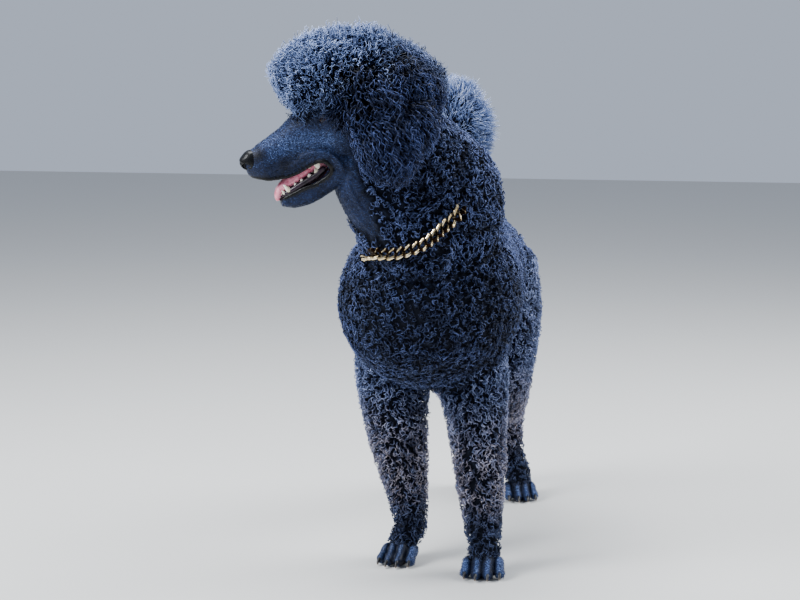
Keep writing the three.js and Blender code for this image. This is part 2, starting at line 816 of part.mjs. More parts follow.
// Parting planes
const headSpace = [{ point: headPoint(135, -114), way: headWay(-0.364, 0.931) }];
const neckSpace = [{ point: vec(-60, -400, 556), way: vec(-0.12, -0.48, 0.87) }];
const pomSpace = [
  { point: vec(0, 0, pomCut), way: up },
  { point: vec(0, 60, 0), way: vec(0, 1, 0) },
];
const tailSpace = [
  { point: vec(0, 0, tailCut), way: up },
  { point: vec(0, 150, 0), way: vec(0, 1, 0) },
];
const forelegSpace = [
  { point: vec(0, 0, elbowCut), way: down },
  { point: vec(0, 20, 0), way: vec(0, -1, 0) },
];
const slope = vec(0, rump.y - flank.y, rump.z - flank.z);
const hindlegSpace = [
  { point: vec(0, flank.y, flank.z), way: vec(0, slope.z, -slope.y) },
  { point: vec(0, 20, 0), way: vec(0, 1, 0) },
];
const leftOf = (x) => [{ point: vec(x, 0, 0), way: vec(1, 0, 0) }];
const aboveFoot = spaceWithin([{ point: vec(0, 0, shavedTo), way: up }], -partGap / 2);

// The whole dog with its holes, then parted
const jawSpace = [{ point: headPoint(jawSplit, 0), way: headWay(-1, 0) }];
const [jawFront, jawRear] = takeFrom(jaw(), jawSpace);
const jawRoom = join(jaw(2 * partGap), lowerLips(2 * partGap)).intersect(spaceWithin(jawSpace, partGap / 2));
const jawSolid = join(jawFront, lowerLips(), lowerTeeth)
  .subtract(tongueRoom)
  .intersect(spaceWithin(jawSpace, -partGap / 2));
const whole = join(
  bodyCoatSolid,
  jawRear,
  upperLips,
  bothSides.map(lids),
)
  .subtract(palate)
  .subtract(join(bothSides.map((side) => eyeball(side, partGap))))
  .subtract(join(bothSides.map((side) => earRoom(side, partGap))))
  .subtract(join(tongueRoom, jawRoom))
  .subtract(chainGroove);
const [headAndNose, belowHead] = takeFrom(whole, headSpace);
const [noseSolid, headSolid] = takeFrom(headAndNose, noseSpace);
const noseLeather = join(noseSolid, noseWings)
  .subtract(join(nostrils))
  .intersect(spaceWithin(noseSpace, -partGap / 2));
const [neckSolid, belowNeck] = takeFrom(belowHead, neckSpace);
const [pomSolid, belowPom] = takeFrom(belowNeck, pomSpace);
const [tailSolid, belowTail] = takeFrom(belowPom, tailSpace);
const [foreSolid, aboveFore] = takeFrom(belowTail, forelegSpace);
const [hindSolid, torsoSolid] = takeFrom(aboveFore, hindlegSpace);
const [foreLeft, foreRight] = takeFrom(foreSolid.intersect(aboveFoot), leftOf(-16));
const [hindLeft, hindRight] = takeFrom(hindSolid.intersect(aboveFoot), leftOf(-5));

const group = new THREE.Group();
const finish = (color, roughness, metalness = 0) =>
  new THREE.MeshStandardMaterial({ color, roughness, metalness });
const coatBlack = finish(0x14161c, 0.9);
const skinBlack = finish(0x1a1c22, 0.55);
function add(name, solid, material) {
  const mesh = meshOf(largest(solid), material);
  mesh.name = name;
  group.add(mesh);
}
add("torso", torsoSolid, coatBlack);
add("neck", neckSolid, coatBlack);
add("head", join(headSolid, upperTeeth), coatBlack);
add("nose", noseLeather, finish(0x0c0c0e, 0.3));
add("lower_jaw", jawSolid, skinBlack);
add("tongue", tongue(), finish(0xd98a92, 0.4));
add("ear_left", ear(1), coatBlack);
add("ear_right", ear(-1), coatBlack);
add("eye_left", eyeball(1), finish(0x1c0f08, 0.1));
add("eye_right", eyeball(-1), finish(0x1c0f08, 0.1));
add("foreleg_left", foreLeft, coatBlack);
add("foreleg_right", foreRight, coatBlack);
add("hindleg_left", hindLeft, coatBlack);
add("hindleg_right", hindRight, coatBlack);
for (const [name, place] of Object.entries(paws)) add(name, paw(place), skinBlack);
add("tail", tailSolid, coatBlack);
add("tail_pompon", pomSolid, coatBlack);
add("collar_chain", chain, finish(0xd9a441, 0.25, 1));

// The origin is on the floor, under the middle of the dog
const box = new THREE.Box3().setFromObject(group);
const middle = box.getCenter(vec(0, 0, 0));
group.position.set(-middle.x, -middle.y, -box.min.z);

export default group;
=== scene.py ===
import math

import bpy
import numpy as np
from mathutils import Matrix, Vector, noise
from mathutils.bvhtree import BVHTree
from mathutils.kdtree import KDTree


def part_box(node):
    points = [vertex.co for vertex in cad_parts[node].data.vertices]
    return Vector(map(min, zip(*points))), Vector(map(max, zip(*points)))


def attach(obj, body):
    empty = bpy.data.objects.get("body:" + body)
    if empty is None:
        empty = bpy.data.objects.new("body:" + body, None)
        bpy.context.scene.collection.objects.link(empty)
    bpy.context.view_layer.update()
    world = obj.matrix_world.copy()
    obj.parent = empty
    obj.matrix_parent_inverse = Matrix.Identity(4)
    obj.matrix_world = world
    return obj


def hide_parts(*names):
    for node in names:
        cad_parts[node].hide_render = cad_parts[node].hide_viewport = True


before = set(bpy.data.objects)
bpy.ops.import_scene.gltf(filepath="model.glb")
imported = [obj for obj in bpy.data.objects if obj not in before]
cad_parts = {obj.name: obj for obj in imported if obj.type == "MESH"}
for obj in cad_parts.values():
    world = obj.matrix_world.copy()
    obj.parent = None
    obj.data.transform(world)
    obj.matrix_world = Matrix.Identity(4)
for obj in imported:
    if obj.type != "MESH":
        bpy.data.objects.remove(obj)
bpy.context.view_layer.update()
rng = np.random.default_rng(11)

# The dog's own frame is in millimetres: it faces -Y, and X is its left side. Places on the head are back
# from the nose's tip, up, and out to the dog's left. The head is turned to the dog's right by its yaw and
# down by its pitch.
head = {"noseTip": (-287.8, -500.6, 741.8), "yaw": 72, "pitch": 20.4}
eye = {"place": (151, 14, 41.5), "radius": 11.5, "gaze": (-0.62, 0.06, 0.78), "socket": 12,
       "lids": (34, -30)}
yaw, pitch = math.radians(head["yaw"]), math.radians(head["pitch"])
noseTip = Vector(head["noseTip"])
headForward = Vector((-math.sin(yaw) * math.cos(pitch), -math.cos(yaw) * math.cos(pitch), -math.sin(pitch)))
headLeft = Vector((math.cos(yaw), -math.sin(yaw), 0))
headUp = headForward.cross(headLeft).normalized()


def headWay(back, up, out=0):
    return headLeft * out + headUp * up - headForward * back


def headPoint(back, up, out=0):
    return noseTip + headWay(back, up, out)


eyeLow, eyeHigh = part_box("eye_left")
shift = (eyeLow + eyeHigh) / 2 - headPoint(*eye["place"]) / 1000  # from the dog's frame to the part's


def metres(point):
    return Vector(point) / 1000 + shift


# Camera, from the photograph's horizon and the dog's feet
view = {"place": (639, -3858, 985), "turn": 11.139, "down": 7.815, "lens": 95.6}
bpy.ops.object.camera_add(location=metres(view["place"]),
                          rotation=(math.radians(90 - view["down"]), 0, math.radians(view["turn"])))
camera = bpy.context.object
camera.data.lens = view["lens"]
camera.data.sensor_width = 36
bpy.context.scene.camera = camera


# Materials
def colour(hexCode):
    parts = [int(hexCode[i:i + 2], 16) / 255 for i in (1, 3, 5)]
    return [p / 12.92 if p <= 0.04045 else ((p + 0.055) / 1.055) ** 2.4 for p in parts] + [1]


# A number stands for a socket's place: 6 and 7 are the colours of a Mix node, 0 to 2 the values of a Math
# node. Stops are the places and colours of a ramp.
def addNode(material, kind, settings=None, links=None):
    node = material.node_tree.nodes.new("ShaderNode" + kind)
    for name, value in (settings or {}).items():
        if name == "stops":
            setStops(node.color_ramp.elements, value)
        elif isinstance(name, int) or name in node.inputs:
            node.inputs[name].default_value = value
        else:
            setattr(node, name, value)
    feed(node, links or {})
    return node


# A source is an output, or a node whose first output is meant
def feed(node, links):
    for name, source in links.items():
        output = source.outputs[0] if isinstance(source, bpy.types.Node) else source
        node.id_data.links.new(output, node.inputs[name])


def setStops(elements, stops):
    while len(elements) < len(stops):
        elements.new(0.5)
    for element, (at, code) in zip(elements, stops):
        element.position = at
        element.color = colour(code)


def newMaterial(name, settings):
    material = bpy.data.materials.new(name)
    material.use_nodes = True
    shader = material.node_tree.nodes["Principled BSDF"]
    for socket, value in settings.items():
        shader.inputs[socket].default_value = value
    return material, shader


# Curly poodle hair, black with a blue cast. Its attribute gives the painted light, with painted shade in
# the depths of the coat, the share of pale blue-grey, which is painted light on the topknot's top, and the
# share of sun-browned hair. The noise is the strands in a lock, 1.4 mm across, coarser than single hairs so
# that they show.
def curlyHair():
    material, shader = newMaterial("curlyPoodleHair", {"Roughness": 0.5, "Specular IOR Level": 0.2})
    where = addNode(material, "TexCoord").outputs["Object"]
    tone = addNode(material, "Attribute", {"attribute_name": "tone"})
    parts = addNode(material, "SeparateColor", links={"Color": tone})
    hairs = addNode(material, "TexNoise", {"Scale": 700, "Detail": 2, "Roughness": 0.6}, {"Vector": where})
    uneven = addNode(material, "MapRange",
                     {"From Min": 0.3, "From Max": 0.7, "To Min": 0.72, "To Max": 1.12}, {"Value": hairs})
    light = addNode(material, "Math", {"operation": "MULTIPLY"}, {0: parts.outputs["Red"], 1: uneven})
    black = addNode(material, "ValToRGB",
                    {"stops": [(0, "#000001"), (0.4, "#060a19"), (0.75, "#1b2752"), (1, "#667dc6")]},
                    {"Fac": light})
    pale = addNode(material, "ValToRGB",
                   {"stops": [(0, "#04050c"), (0.3, "#243158"), (0.7, "#8299cc"), (1, "#e4edff")]},
                   {"Fac": light})
    brown = addNode(material, "ValToRGB",
                    {"stops": [(0, "#030306"), (0.35, "#201f2e"), (0.7, "#7c7379"), (1, "#cdc0ba")]},
                    {"Fac": light})
    greyed = addNode(material, "Mix", {"data_type": "RGBA"},
                     {"Factor": parts.outputs["Green"], 6: black, 7: pale})
    browned = addNode(material, "Mix", {"data_type": "RGBA"},
                      {"Factor": parts.outputs["Blue"], 6: greyed.outputs[2], 7: brown})
    bump = addNode(material, "Bump", {"Strength": 0.5, "Distance": 0.0006}, {"Height": hairs})
    feed(shader, {"Base Color": browned.outputs[2], "Normal": bump})
    return material


# Short clipped hair over skin: blue-black with pale flecks, painted highlights where the hair catches the
# light, bare black lips and a dark red lining in the mouth. The flecks are 2 mm across, coarser than the
# hairs so that they show, in patches of about 22 mm. The attribute gives lips, lining, the skin under the
# coat, painted near black as the coat's shade, and, in its alpha, the painted light and shade.
def clippedHair():
    material, shader = newMaterial("clippedHairOverSkin", {"Specular IOR Level": 0.2})
    where = addNode(material, "TexCoord").outputs["Object"]
    marks = addNode(material, "Attribute", {"attribute_name": "marks"})
    parts = addNode(material, "SeparateColor", links={"Color": marks})
    hairs = addNode(material, "TexNoise", {"Scale": 520, "Detail": 3, "Roughness": 0.7}, {"Vector": where})
    patches = addNode(material, "TexNoise", {"Scale": 45, "Detail": 4}, {"Vector": where})
    shaded = addNode(material, "Math", {"operation": "MULTIPLY_ADD", 1: 0.34},
                     {0: marks.outputs["Alpha"], 2: hairs})
    flecks = addNode(material, "ValToRGB",
                     {"stops": [(0.5, "#03050d"), (0.66, "#0e1730"), (0.77, "#2b4070"), (0.93, "#8aa5dc")]},
                     {"Fac": shaded})
    broad = addNode(material, "ValToRGB", {"stops": [(0.35, "#080c19"), (0.7, "#213056")]},
                    {"Fac": patches})
    haired = addNode(material, "Mix", {"data_type": "RGBA", "Factor": 0.35}, {6: flecks, 7: broad})
    lips = addNode(material, "Mix", {"data_type": "RGBA", 7: colour("#050506")},
                   {"Factor": parts.outputs["Red"], 6: haired.outputs[2]})
    lining = addNode(material, "ValToRGB", {"stops": [(0.3, "#1d0c10"), (0.7, "#5c2a32")]},
                     {"Fac": patches})
    mouth = addNode(material, "Mix", {"data_type": "RGBA"},
                    {"Factor": parts.outputs["Green"], 6: lips.outputs[2], 7: lining})
    # Painted shade: the skin under the coat is near black
    under = addNode(material, "Mix", {"data_type": "RGBA", 7: colour("#060914")},
                    {"Factor": parts.outputs["Blue"], 6: mouth.outputs[2]})
    wet = addNode(material, "MapRange", {"To Min": 0.6, "To Max": 0.25}, {"Value": parts.outputs["Red"]})
    rough = addNode(material, "Math", {"operation": "MAXIMUM"}, {0: wet, 1: parts.outputs["Blue"]})
    bump = addNode(material, "Bump", {"Strength": 0.6, "Distance": 0.0009}, {"Height": hairs})
    feed(shader, {"Base Color": under.outputs[2], "Roughness": rough, "Normal": bump})
    return material


# Moist skin of the nose, tongue and gums: a mottle of about 11 mm and grains of 1 to 2 mm that also raise
# the surface, about twice as coarse as life so that they show
def moistSkin(name, dark, light, grain, rough, depth, wet=0.35):
    material, shader = newMaterial(name, {"Roughness": rough, "Specular IOR Level": 0.12,
                                          "Coat Weight": wet, "Coat Roughness": 0.12})
    where = addNode(material, "TexCoord").outputs["Object"]
    patches = addNode(material, "TexNoise", {"Scale": 90, "Detail": 4}, {"Vector": where})
    grains = addNode(material, "TexVoronoi", {"Scale": grain}, {"Vector": where})
    tint = addNode(material, "ValToRGB", {"stops": [(0.35, dark), (0.68, light)]}, {"Fac": patches})
    bump = addNode(material, "Bump", {"Strength": 0.5, "Distance": depth, "invert": True},
                   {"Height": grains})
    feed(shader, {"Base Color": tint, "Normal": bump})
    return material


# Tooth enamel: glossy ivory, yellower in soft clouds of about 6 mm
def enamel():
    material, shader = newMaterial("toothEnamel", {"Roughness": 0.22, "Specular IOR Level": 0.5})
    where = addNode(material, "TexCoord").outputs["Object"]
    clouds = addNode(material, "TexNoise", {"Scale": 160, "Detail": 2}, {"Vector": where})
    tint = addNode(material, "ValToRGB", {"stops": [(0.35, "#e2d5b4"), (0.65, "#f6f1e4")]},
                   {"Fac": clouds})
    feed(shader, {"Base Color": tint})
    return material


# Claw horn: near black above, pale and worn where the claw nears the ground, uneven by growths of 1 mm
def horn():
    material, shader = newMaterial("clawHorn", {"Roughness": 0.35, "Specular IOR Level": 0.5})
    where = addNode(material, "TexCoord").outputs["Object"]
    height = addNode(material, "SeparateXYZ", links={"Vector": where}).outputs["Z"]
    share = addNode(material, "MapRange", {"From Min": 0.003, "From Max": 0.015}, {"Value": height})
    tint = addNode(material, "ValToRGB", {"stops": [(0, "#b9ab98"), (0.2, "#4d453f"), (0.5, "#101014")]},
                   {"Fac": share})
    growths = addNode(material, "TexNoise", {"Scale": 800, "Detail": 2}, {"Vector": where})
    bump = addNode(material, "Bump", {"Strength": 0.3, "Distance": 0.0004}, {"Height": growths})
    feed(shader, {"Base Color": tint, "Normal": bump})
    return material


# The eye under its wet film: black pupil, very dark brown iris, black rim, and a white that is dark in the
# shade of the fringe. The attribute runs from 0 at the pupil's middle to 1 at the side of the ball.
def wetEye():
    material, shader = newMaterial("wetEye", {"Roughness": 0.08, "Specular IOR Level": 0.2,
                                              "Coat Weight": 0.25, "Coat Roughness": 0.03})
    ring = addNode(material, "Attribute", {"attribute_name": "iris"})
    tint = addNode(material, "ValToRGB",
                   {"stops": [(0.13, "#020203"), (0.16, "#26140a"), (0.34, "#38200f"), (0.44, "#0b0705"),
                              (0.6, "#1c1413")]}, {"Fac": ring.outputs["Fac"]})
    feed(shader, {"Base Color": tint})
    return material


# Gold plate, polished where it rubs, with a film in patches of 4 mm, and dark brown painted shade inside
# the links, on their side towards the neck and where they meet the next
def goldPlate():
    material, shader = newMaterial("polishedGoldPlate", {"Metallic": 1})
    where = addNode(material, "TexCoord").outputs["Object"]
    film = addNode(material, "TexNoise", {"Scale": 240, "Detail": 3}, {"Vector": where})
    bright = addNode(material, "ValToRGB",
                     {"stops": [(0.3, "#f3cd88"), (0.5, "#ffe6b4"), (0.75, "#fff6e0")]}, {"Fac": film})
    # Painted shade of the links
    hollow = addNode(material, "Attribute", {"attribute_name": "hollow"})
    tint = addNode(material, "Mix", {"data_type": "RGBA", 7: colour("#1a0d05")},
                   {"Factor": hollow.outputs["Fac"], 6: bright})
    rough = addNode(material, "MapRange", {"To Min": 0.16, "To Max": 0.6}, {"Value": hollow.outputs["Fac"]})
    feed(shader, {"Base Color": tint.outputs[2], "Roughness": rough})
    return material


# Limbs: closed forms through elliptical rings, in millimetres. Coat is the depth of hair inside the
# outline, side the way of the half-width, and a power above 2 makes a ring squarer.
def section(at, wide, deep, coat=0, side=Vector((1, 0, 0)), power=2):
    return {"at": Vector(at), "wide": wide, "deep": deep, "coat": coat, "side": Vector(side),
            "power": power}


# A smooth curve from b to c, with a before them and d after
def spline(a, b, c, d, u):
    bend, swing = a * 2 - b * 5 + c * 4 - d, b * 3 - a - c * 3 + d
    return (b * 2 + (c - a) * u + bend * u * u + swing * u ** 3) * 0.5


def between(values, t):
    count = len(values)
    i = min(int(t), count - 2)
    a, b, c, d = (values[min(max(k, 0), count - 1)] for k in (i - 1, i, i + 1, i + 2))
    if i == 0:
        a = b * 2 - c
    if i == count - 2:
        d = c * 2 - b
    return spline(a, b, c, d, t - i)


def ringsOf(sections, inset=0, steps=4):
    rings = []
    columns = {name: [s[name] for s in sections] for name in sections[0]}
    for i in range((len(sections) - 1) * steps + 1):
        t = i / steps
        ring = {name: between(values, t) for name, values in columns.items()}
        ahead = between(columns["at"], min(t + 0.05, len(sections) - 1))
        behind = between(columns["at"], max(t - 0.05, 0))
        ring["along"] = (ahead - behind).normalized()
        ring["side"] = (ring["side"] - ring["along"] * ring["side"].dot(ring["along"])).normalized()
        ring["up"] = ring["along"].cross(ring["side"]).normalized()
        ring["wide"] = max(1, ring["wide"] - inset * ring["coat"])
        ring["deep"] = max(1, ring["deep"] - inset * ring["coat"])
        rings.append(ring)
    return rings


def roundedEnd(ring, reach, way):
    length = reach * min(ring["wide"], ring["deep"]) * way
    closing = []
    for degrees in (25, 45, 62, 78):
        turn = math.radians(degrees)
        closing.append({**ring, "at": ring["at"] + ring["along"] * length * math.sin(turn),
                        "wide": ring["wide"] * math.cos(turn), "deep": ring["deep"] * math.cos(turn)})
    return closing


def deselect():
    if bpy.context.mode != "OBJECT":
        bpy.ops.object.mode_set(mode="OBJECT")
    bpy.ops.object.select_all(action="DESELECT")


def turnTo(side, up, along):
    return Matrix((side, up, along)).transposed().to_euler()


# Circles are set at each ring and bridged, then the ends are filled
def modelLimb(name, sections, inset=0, around=24, steps=4, ends=(0.6, 0.6)):
    rings = ringsOf(sections, inset, steps)
    rings = roundedEnd(rings[0], ends[0], -1)[::-1] + rings + roundedEnd(rings[-1], ends[1], 1)
    deselect()
    bpy.ops.mesh.primitive_circle_add(vertices=around, radius=0.001, location=(0, 0, 0))
    limb = bpy.context.object
    limb.name = name
    bpy.ops.object.mode_set(mode="EDIT")
    bpy.ops.mesh.delete(type="VERT")
    for ring in rings:
        turn = turnTo(ring["side"], ring["up"], ring["along"])
        bpy.ops.mesh.primitive_circle_add(vertices=around, radius=ring["deep"] / 1000,
                                          location=metres(ring["at"]), rotation=turn)
    bpy.ops.mesh.select_all(action="SELECT")
    bpy.ops.mesh.bridge_edge_loops()
    bpy.ops.mesh.select_all(action="SELECT")
    bpy.ops.mesh.fill_holes(sides=0)
    bpy.ops.mesh.normals_make_consistent(inside=False)
    bpy.ops.object.mode_set(mode="OBJECT")
    shapeRings(limb, rings, around)
    return limb


# The circles take their width, and rings squarer than an ellipse have their points pushed out
def shapeRings(limb, rings, around):
    for i, ring in enumerate(rings):
        centre = metres(ring["at"])
        for vertex in limb.data.vertices[i * around:(i + 1) * around]:
            away = (vertex.co - centre) / ring["deep"] * 1000
            x, y = away.dot(ring["side"]), away.dot(ring["up"])
            x, y = (math.copysign(abs(v) ** (2 / ring["power"]), v) for v in (x, y))
            vertex.co = centre + (ring["side"] * x * ring["wide"] + ring["up"] * y * ring["deep"]) / 1000


def modelBall(name, at, sizes, side, up, segments=24):
    deselect()
    along = side.cross(up).normalized()
    upright = along.cross(side).normalized()
    bpy.ops.mesh.primitive_uv_sphere_add(segments=segments, ring_count=segments // 2, radius=0.001,
                                         location=metres(at), rotation=turnTo(side, -along, upright),
                                         scale=sizes)
    ball = bpy.context.object
    ball.name = name
    bpy.ops.object.transform_apply(location=True, rotation=True, scale=True)
    return ball


def headBall(name, side, place, sizes):
    back, up, out = place
    return modelBall(name, headPoint(back, up, side * out), sizes, headLeft, headUp)


# A round tube on one side of the head: back, up, out and radius
def tube(name, places, side=1, upright=headUp + headLeft * 0.3, ends=(0.8, 0.8)):
    sections = [section(headPoint(back, up, side * out), radius, radius, 0, upright)
                for back, up, out, radius in places]
    return modelLimb(name, sections, 0, 12, 3, ends)


# A soft roll of skin, of even thickness
def roll(name, places, side, radius):
    return tube(name, [(*place, radius) for place in places], side, headUp, (0.7, 0.7))


def select(*pieces):
    deselect()
    for piece in pieces:
        piece.select_set(True)
    bpy.context.view_layer.objects.active = pieces[0]


def joinPieces(name, pieces):
    select(*pieces)
    bpy.ops.object.join()
    joined = bpy.context.object
    joined.name = name
    return joined


def applyModifier(piece, kind, **settings):
    select(piece)
    modifier = piece.modifiers.new(kind.title(), kind)
    for name, value in settings.items():
        setattr(modifier, name, value)
    bpy.ops.object.modifier_apply(modifier=modifier.name)


def remesh(piece, voxel, rounds):
    applyModifier(piece, "REMESH", mode="VOXEL", voxel_size=voxel / 1000)
    applyModifier(piece, "SMOOTH", factor=0.5, iterations=rounds)
    return piece


def cut(piece, tool):
    applyModifier(piece, "BOOLEAN", operation="DIFFERENCE", object=tool, solver="EXACT")
    bpy.data.objects.remove(tool)


def finish(piece, material, slot, *nodes):
    piece.data.materials.clear()
    piece.data.materials.append(material)
    select(piece)
    bpy.ops.object.shade_smooth()
    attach(piece, "root")
    if nodes:
        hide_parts(*nodes)


# The body. Places are across, back, height, half-width and half-depth, and coat is the depth of the hair.
# The trunk's begin with a share of its length and end with shares of its width and depth.
trunk = {"sternum": -430, "length": 705, "wide": 318, "deep": 345, "rounding": 22, "coat": 30,
         "places": [(0, -20, 460, 0.3, 0.25), (0.08, -20, 470, 0.43, 0.37), (0.2, -18, 482, 0.51, 0.475),
                    (0.33, -15, 486, 0.49, 0.495), (0.5, -12, 490, 0.435, 0.455),
                    (0.65, -9, 497, 0.395, 0.39), (0.8, -8, 498, 0.345, 0.325), (0.92, -6, 500, 0.32, 0.29),
                    (1, -6, 500, 0.24, 0.22)]}


def trunkSections():
    start = trunk["sternum"] + trunk["rounding"]
    length = trunk["length"] - 2 * trunk["rounding"]
    return [section((x, start + share * length, z), wide * trunk["wide"], deep * trunk["deep"],
                    trunk["coat"]) for share, x, z, wide, deep in trunk["places"]]


# The last number turns a section to the dog's right, in degrees
neck = {"coat": 32, "places": [(-12, -245, 520, 124, 134, 5), (-8, -286, 590, 122, 142, 22),
                               (-8, -320, 650, 116, 146, 42), (-33, -363, 708, 105, 123, 58),
                               (-60, -397, 764, 96, 100, 68), (-76, -413, 812, 84, 90, 72)]}


def neckSections():
    sections = []
    for x, y, z, wide, deep, degrees in neck["places"]:
        turn = math.radians(degrees)
        sections.append(section((x, y, z), wide, deep, neck["coat"], (math.cos(turn), -math.sin(turn), 0)))
    return sections


# Side 1 is the dog's left. The hair is shorter below the height named low. A hind leg's hip and knee are
# places back, hock and foot are places across, and back is how far back the hock is.
foreleg = {"coat": 27, "lowCoat": 18, "low": 150,
           1: [(40, -232, 430, 74, 98), (52, -222, 350, 68, 80), (60, -228, 280, 58, 68),
               (68, -236, 200, 50, 56), (74, -244, 120, 40, 44), (79, -252, 66, 33, 36),
               (80, -260, 34, 29, 31)],
           -1: [(-88, -192, 430, 76, 98), (-98, -176, 350, 72, 80), (-96, -176, 280, 63, 68),
                (-85, -180, 200, 54, 56), (-71, -184, 120, 39, 44), (-64, -188, 66, 32, 36),
                (-68, -194, 34, 28, 31)]}
hindleg = {"coat": 27, "lowCoat": 18, "low": 200,
           1: {"hip": 176, "knee": 160, "hock": 36, "foot": 56, "back": 346},
           -1: {"hip": 184, "knee": 182, "hock": 32, "foot": 40, "back": 396}}


def legSections(leg, places):
    return [section((x, y, z), wide, deep, leg["coat"] if z > leg["low"] else leg["lowCoat"])
            for x, y, z, wide, deep in places]


def hindlegSections(side):
    hip, knee, hock, foot, back = (hindleg[side][name] for name in ("hip", "knee", "hock", "foot", "back"))
    places = [(56, hip, 500, 58, 112), (60, hip + 2, 415, 64, 108), (60, knee, 330, 58, 84),
              (53, knee + 64, 250, 45, 60), (hock, back - 10, 182, 36, 46), (hock, back, 130, 31, 40),
              ((hock + foot) / 2, back - 6, 74, 28, 33), (foot, back - 12, 34, 26, 29)]
    return legSections(hindleg, [(side * x, *rest) for x, *rest in places])


# Round sections: across, back, height, radius and the share of the coat's depth
tail = {"coat": 14, "places": [(-4, 200, 560, 38, 1), (-10, 228, 620, 30, 1), (-32, 236, 670, 26, 1),
                               (-54, 234, 720, 24, 1)]}
pompon = {"coat": 48, "places": [(-42, 234, 684, 56, 0.6), (-52, 234, 724, 80, 1), (-66, 232, 774, 86, 1),
                                 (-72, 230, 820, 68, 1)]}


def roundSections(part):
    return [section((x, y, z), radius, radius, part["coat"] * share)
            for x, y, z, radius, share in part["places"]]


# The head in its own frame: back, top, bottom and half-width, then the share of the coat's depth in the
# topknot and the squareness in the skull. The throat's sections are back, up, half-width, half-depth and
# coat.
topknot = {"coat": 78, "places": [(126, 138, 4, 84, 0.7), (154, 156, 6, 106, 0.85), (190, 160, -20, 116, 1),
                                  (240, 140, -52, 112, 1), (284, 94, -76, 98, 0.9),
                                  (314, 56, -92, 80, 0.75)]}
skull = [(9, 4, -36, 14, 2.3), (16, 8, -42, 18, 2.4), (34, 12, -50, 21.5, 2.7), (62, 18, -56, 24.5, 3),
         (90, 26, -54, 29, 3), (112, 36, -48, 36, 2.7), (134, 48, -50, 45, 2.3), (148, 54, -56, 51, 2.1),
         (168, 59, -67, 56, 2.1), (205, 56, -64, 56, 2), (250, 40, -50, 48, 2)]
throat = [(186, -52, 38, 38, 0), (166, -84, 40, 36, 0), (165, -122, 44, 38, 0), (176, -160, 47, 42, 0),
          (192, -200, 48, 50, 6), (214, -238, 52, 58, 24), (244, -272, 46, 56, 30)]


def headSection(back, top, bottom, wide, power=2, hair=0):
    return section(headPoint(back, (top + bottom) / 2), wide, (top - bottom) / 2, hair, headLeft, power)


def topknotSections():
    return [headSection(back, top, bottom, wide, 2, topknot["coat"] * share)
            for back, top, bottom, wide, share in topknot["places"]]


def throatSections():
    return [section(headPoint(back, up), wide, deep, hair, headLeft)
            for back, up, wide, deep, hair in throat]


limbs = {"trunk": trunkSections(), "neck": neckSections(), "forelegLeft": legSections(foreleg, foreleg[1]),
         "forelegRight": legSections(foreleg, foreleg[-1]), "hindlegLeft": hindlegSections(1),
         "hindlegRight": hindlegSections(-1), "tail": roundSections(tail), "pompon": roundSections(pompon),
         "topknot": topknotSections(), "throat": throatSections()}
limbEnds = {"trunk": (0.4, 0.4), "topknot": (0.5, 0.5), "pompon": (0.4, 0.55)}

# The ear's leather is under its hair: back, up, out, half-width and half-thickness. The falls are the hair
# that runs down from the topknot into the ear and the neck. Where the topknot is lower, farther back and
# farther out than the last numbers say, its hair falls like the ear's.
ear = {"place": (228, -40, 92), "size": (44, 60, 74),
       "leather": [(212, 34, 46, 20, 8), (218, 12, 74, 28, 8), (224, -20, 90, 32, 8), (229, -56, 96, 32, 8),
                   (230, -84, 94, 24, 7)],
       "falls": [((222, 14, 84), (44, 68, 66)), ((266, -24, 72), (46, 58, 62)),
                 ((198, -4, 66), (28, 24, 44))],
       "top": 66, "front": 178, "inner": 60}


def earLeather(side):
    sections = [section(headPoint(back, up, side * out), wide, thick, 0, headForward)
                for back, up, out, wide, thick in ear["leather"]]
    return modelLimb("earLeather", sections, 0, 20, 4)


def modelLimbs(inset):
    return [modelLimb(name, sections, inset, 24, 3, limbEnds.get(name, (0.6, 0.6)))
            for name, sections in limbs.items()]


# The outer shape of the coat, which the tips of the tufts reach. It is taken away at the end.
def modelGuide():
    pieces = modelLimbs(0)
    for side in (1, -1):
        pieces.append(headBall("earShape", side, ear["place"], ear["size"]))
        pieces += [headBall("earFall", side, place, sizes) for place, sizes in ear["falls"]]
    return remesh(joinPieces("coatShape", pieces), 6, 6)


# The face: jaw and palate are back, top, bottom and half-width, the flews back, up, out, half-width and
# half-depth, and the folds and lips back, up and out. Brow, corner and back of the mouth are balls.
face = {"jaw": [(166, -50, -94, 40), (136, -62, -99, 35), (110, -74, -104, 29), (84, -78, -109, 25.5),
                (60, -80, -107, 21.5), (42, -82, -99, 16.5)],
        "palate": [(22, -38, -62, 9), (44, -36, -72, 14.5), (72, -34, -76, 17.5), (100, -32, -72, 21),
                   (126, -42, -68, 26)],
        "flews": [(20, -28, 12, 6, 10), (34, -36, 15.5, 6, 11), (48, -40, 18, 6, 11), (64, -42, 20, 6, 12),
                  (82, -41, 23, 6, 12), (102, -37, 27.5, 6, 12), (118, -37, 31, 6, 12),
                  (134, -44, 33, 7, 15), (148, -58, 32, 9, 14), (160, -70, 28, 10, 12)],
        "cheekFold": [(92, -30, 30), (108, -29, 36), (124, -32, 41), (138, -42, 43), (146, -56, 42),
                      (149, -72, 38)],
        "throatFolds": [[(140, -96, 20), (136, -122, 25), (146, -160, 32), (161, -194, 38)],
                        [(150, -92, 36), (149, -116, 38.5), (157, -152, 41), (172, -186, 44)]],
        "brow": ((143, 33, 28), (12, 22, 10)), "mouthCorner": ((143, -57, 24), (14, 16, 14)),
        "mouthBack": ((142, -58, 0), (32, 12, 17))}
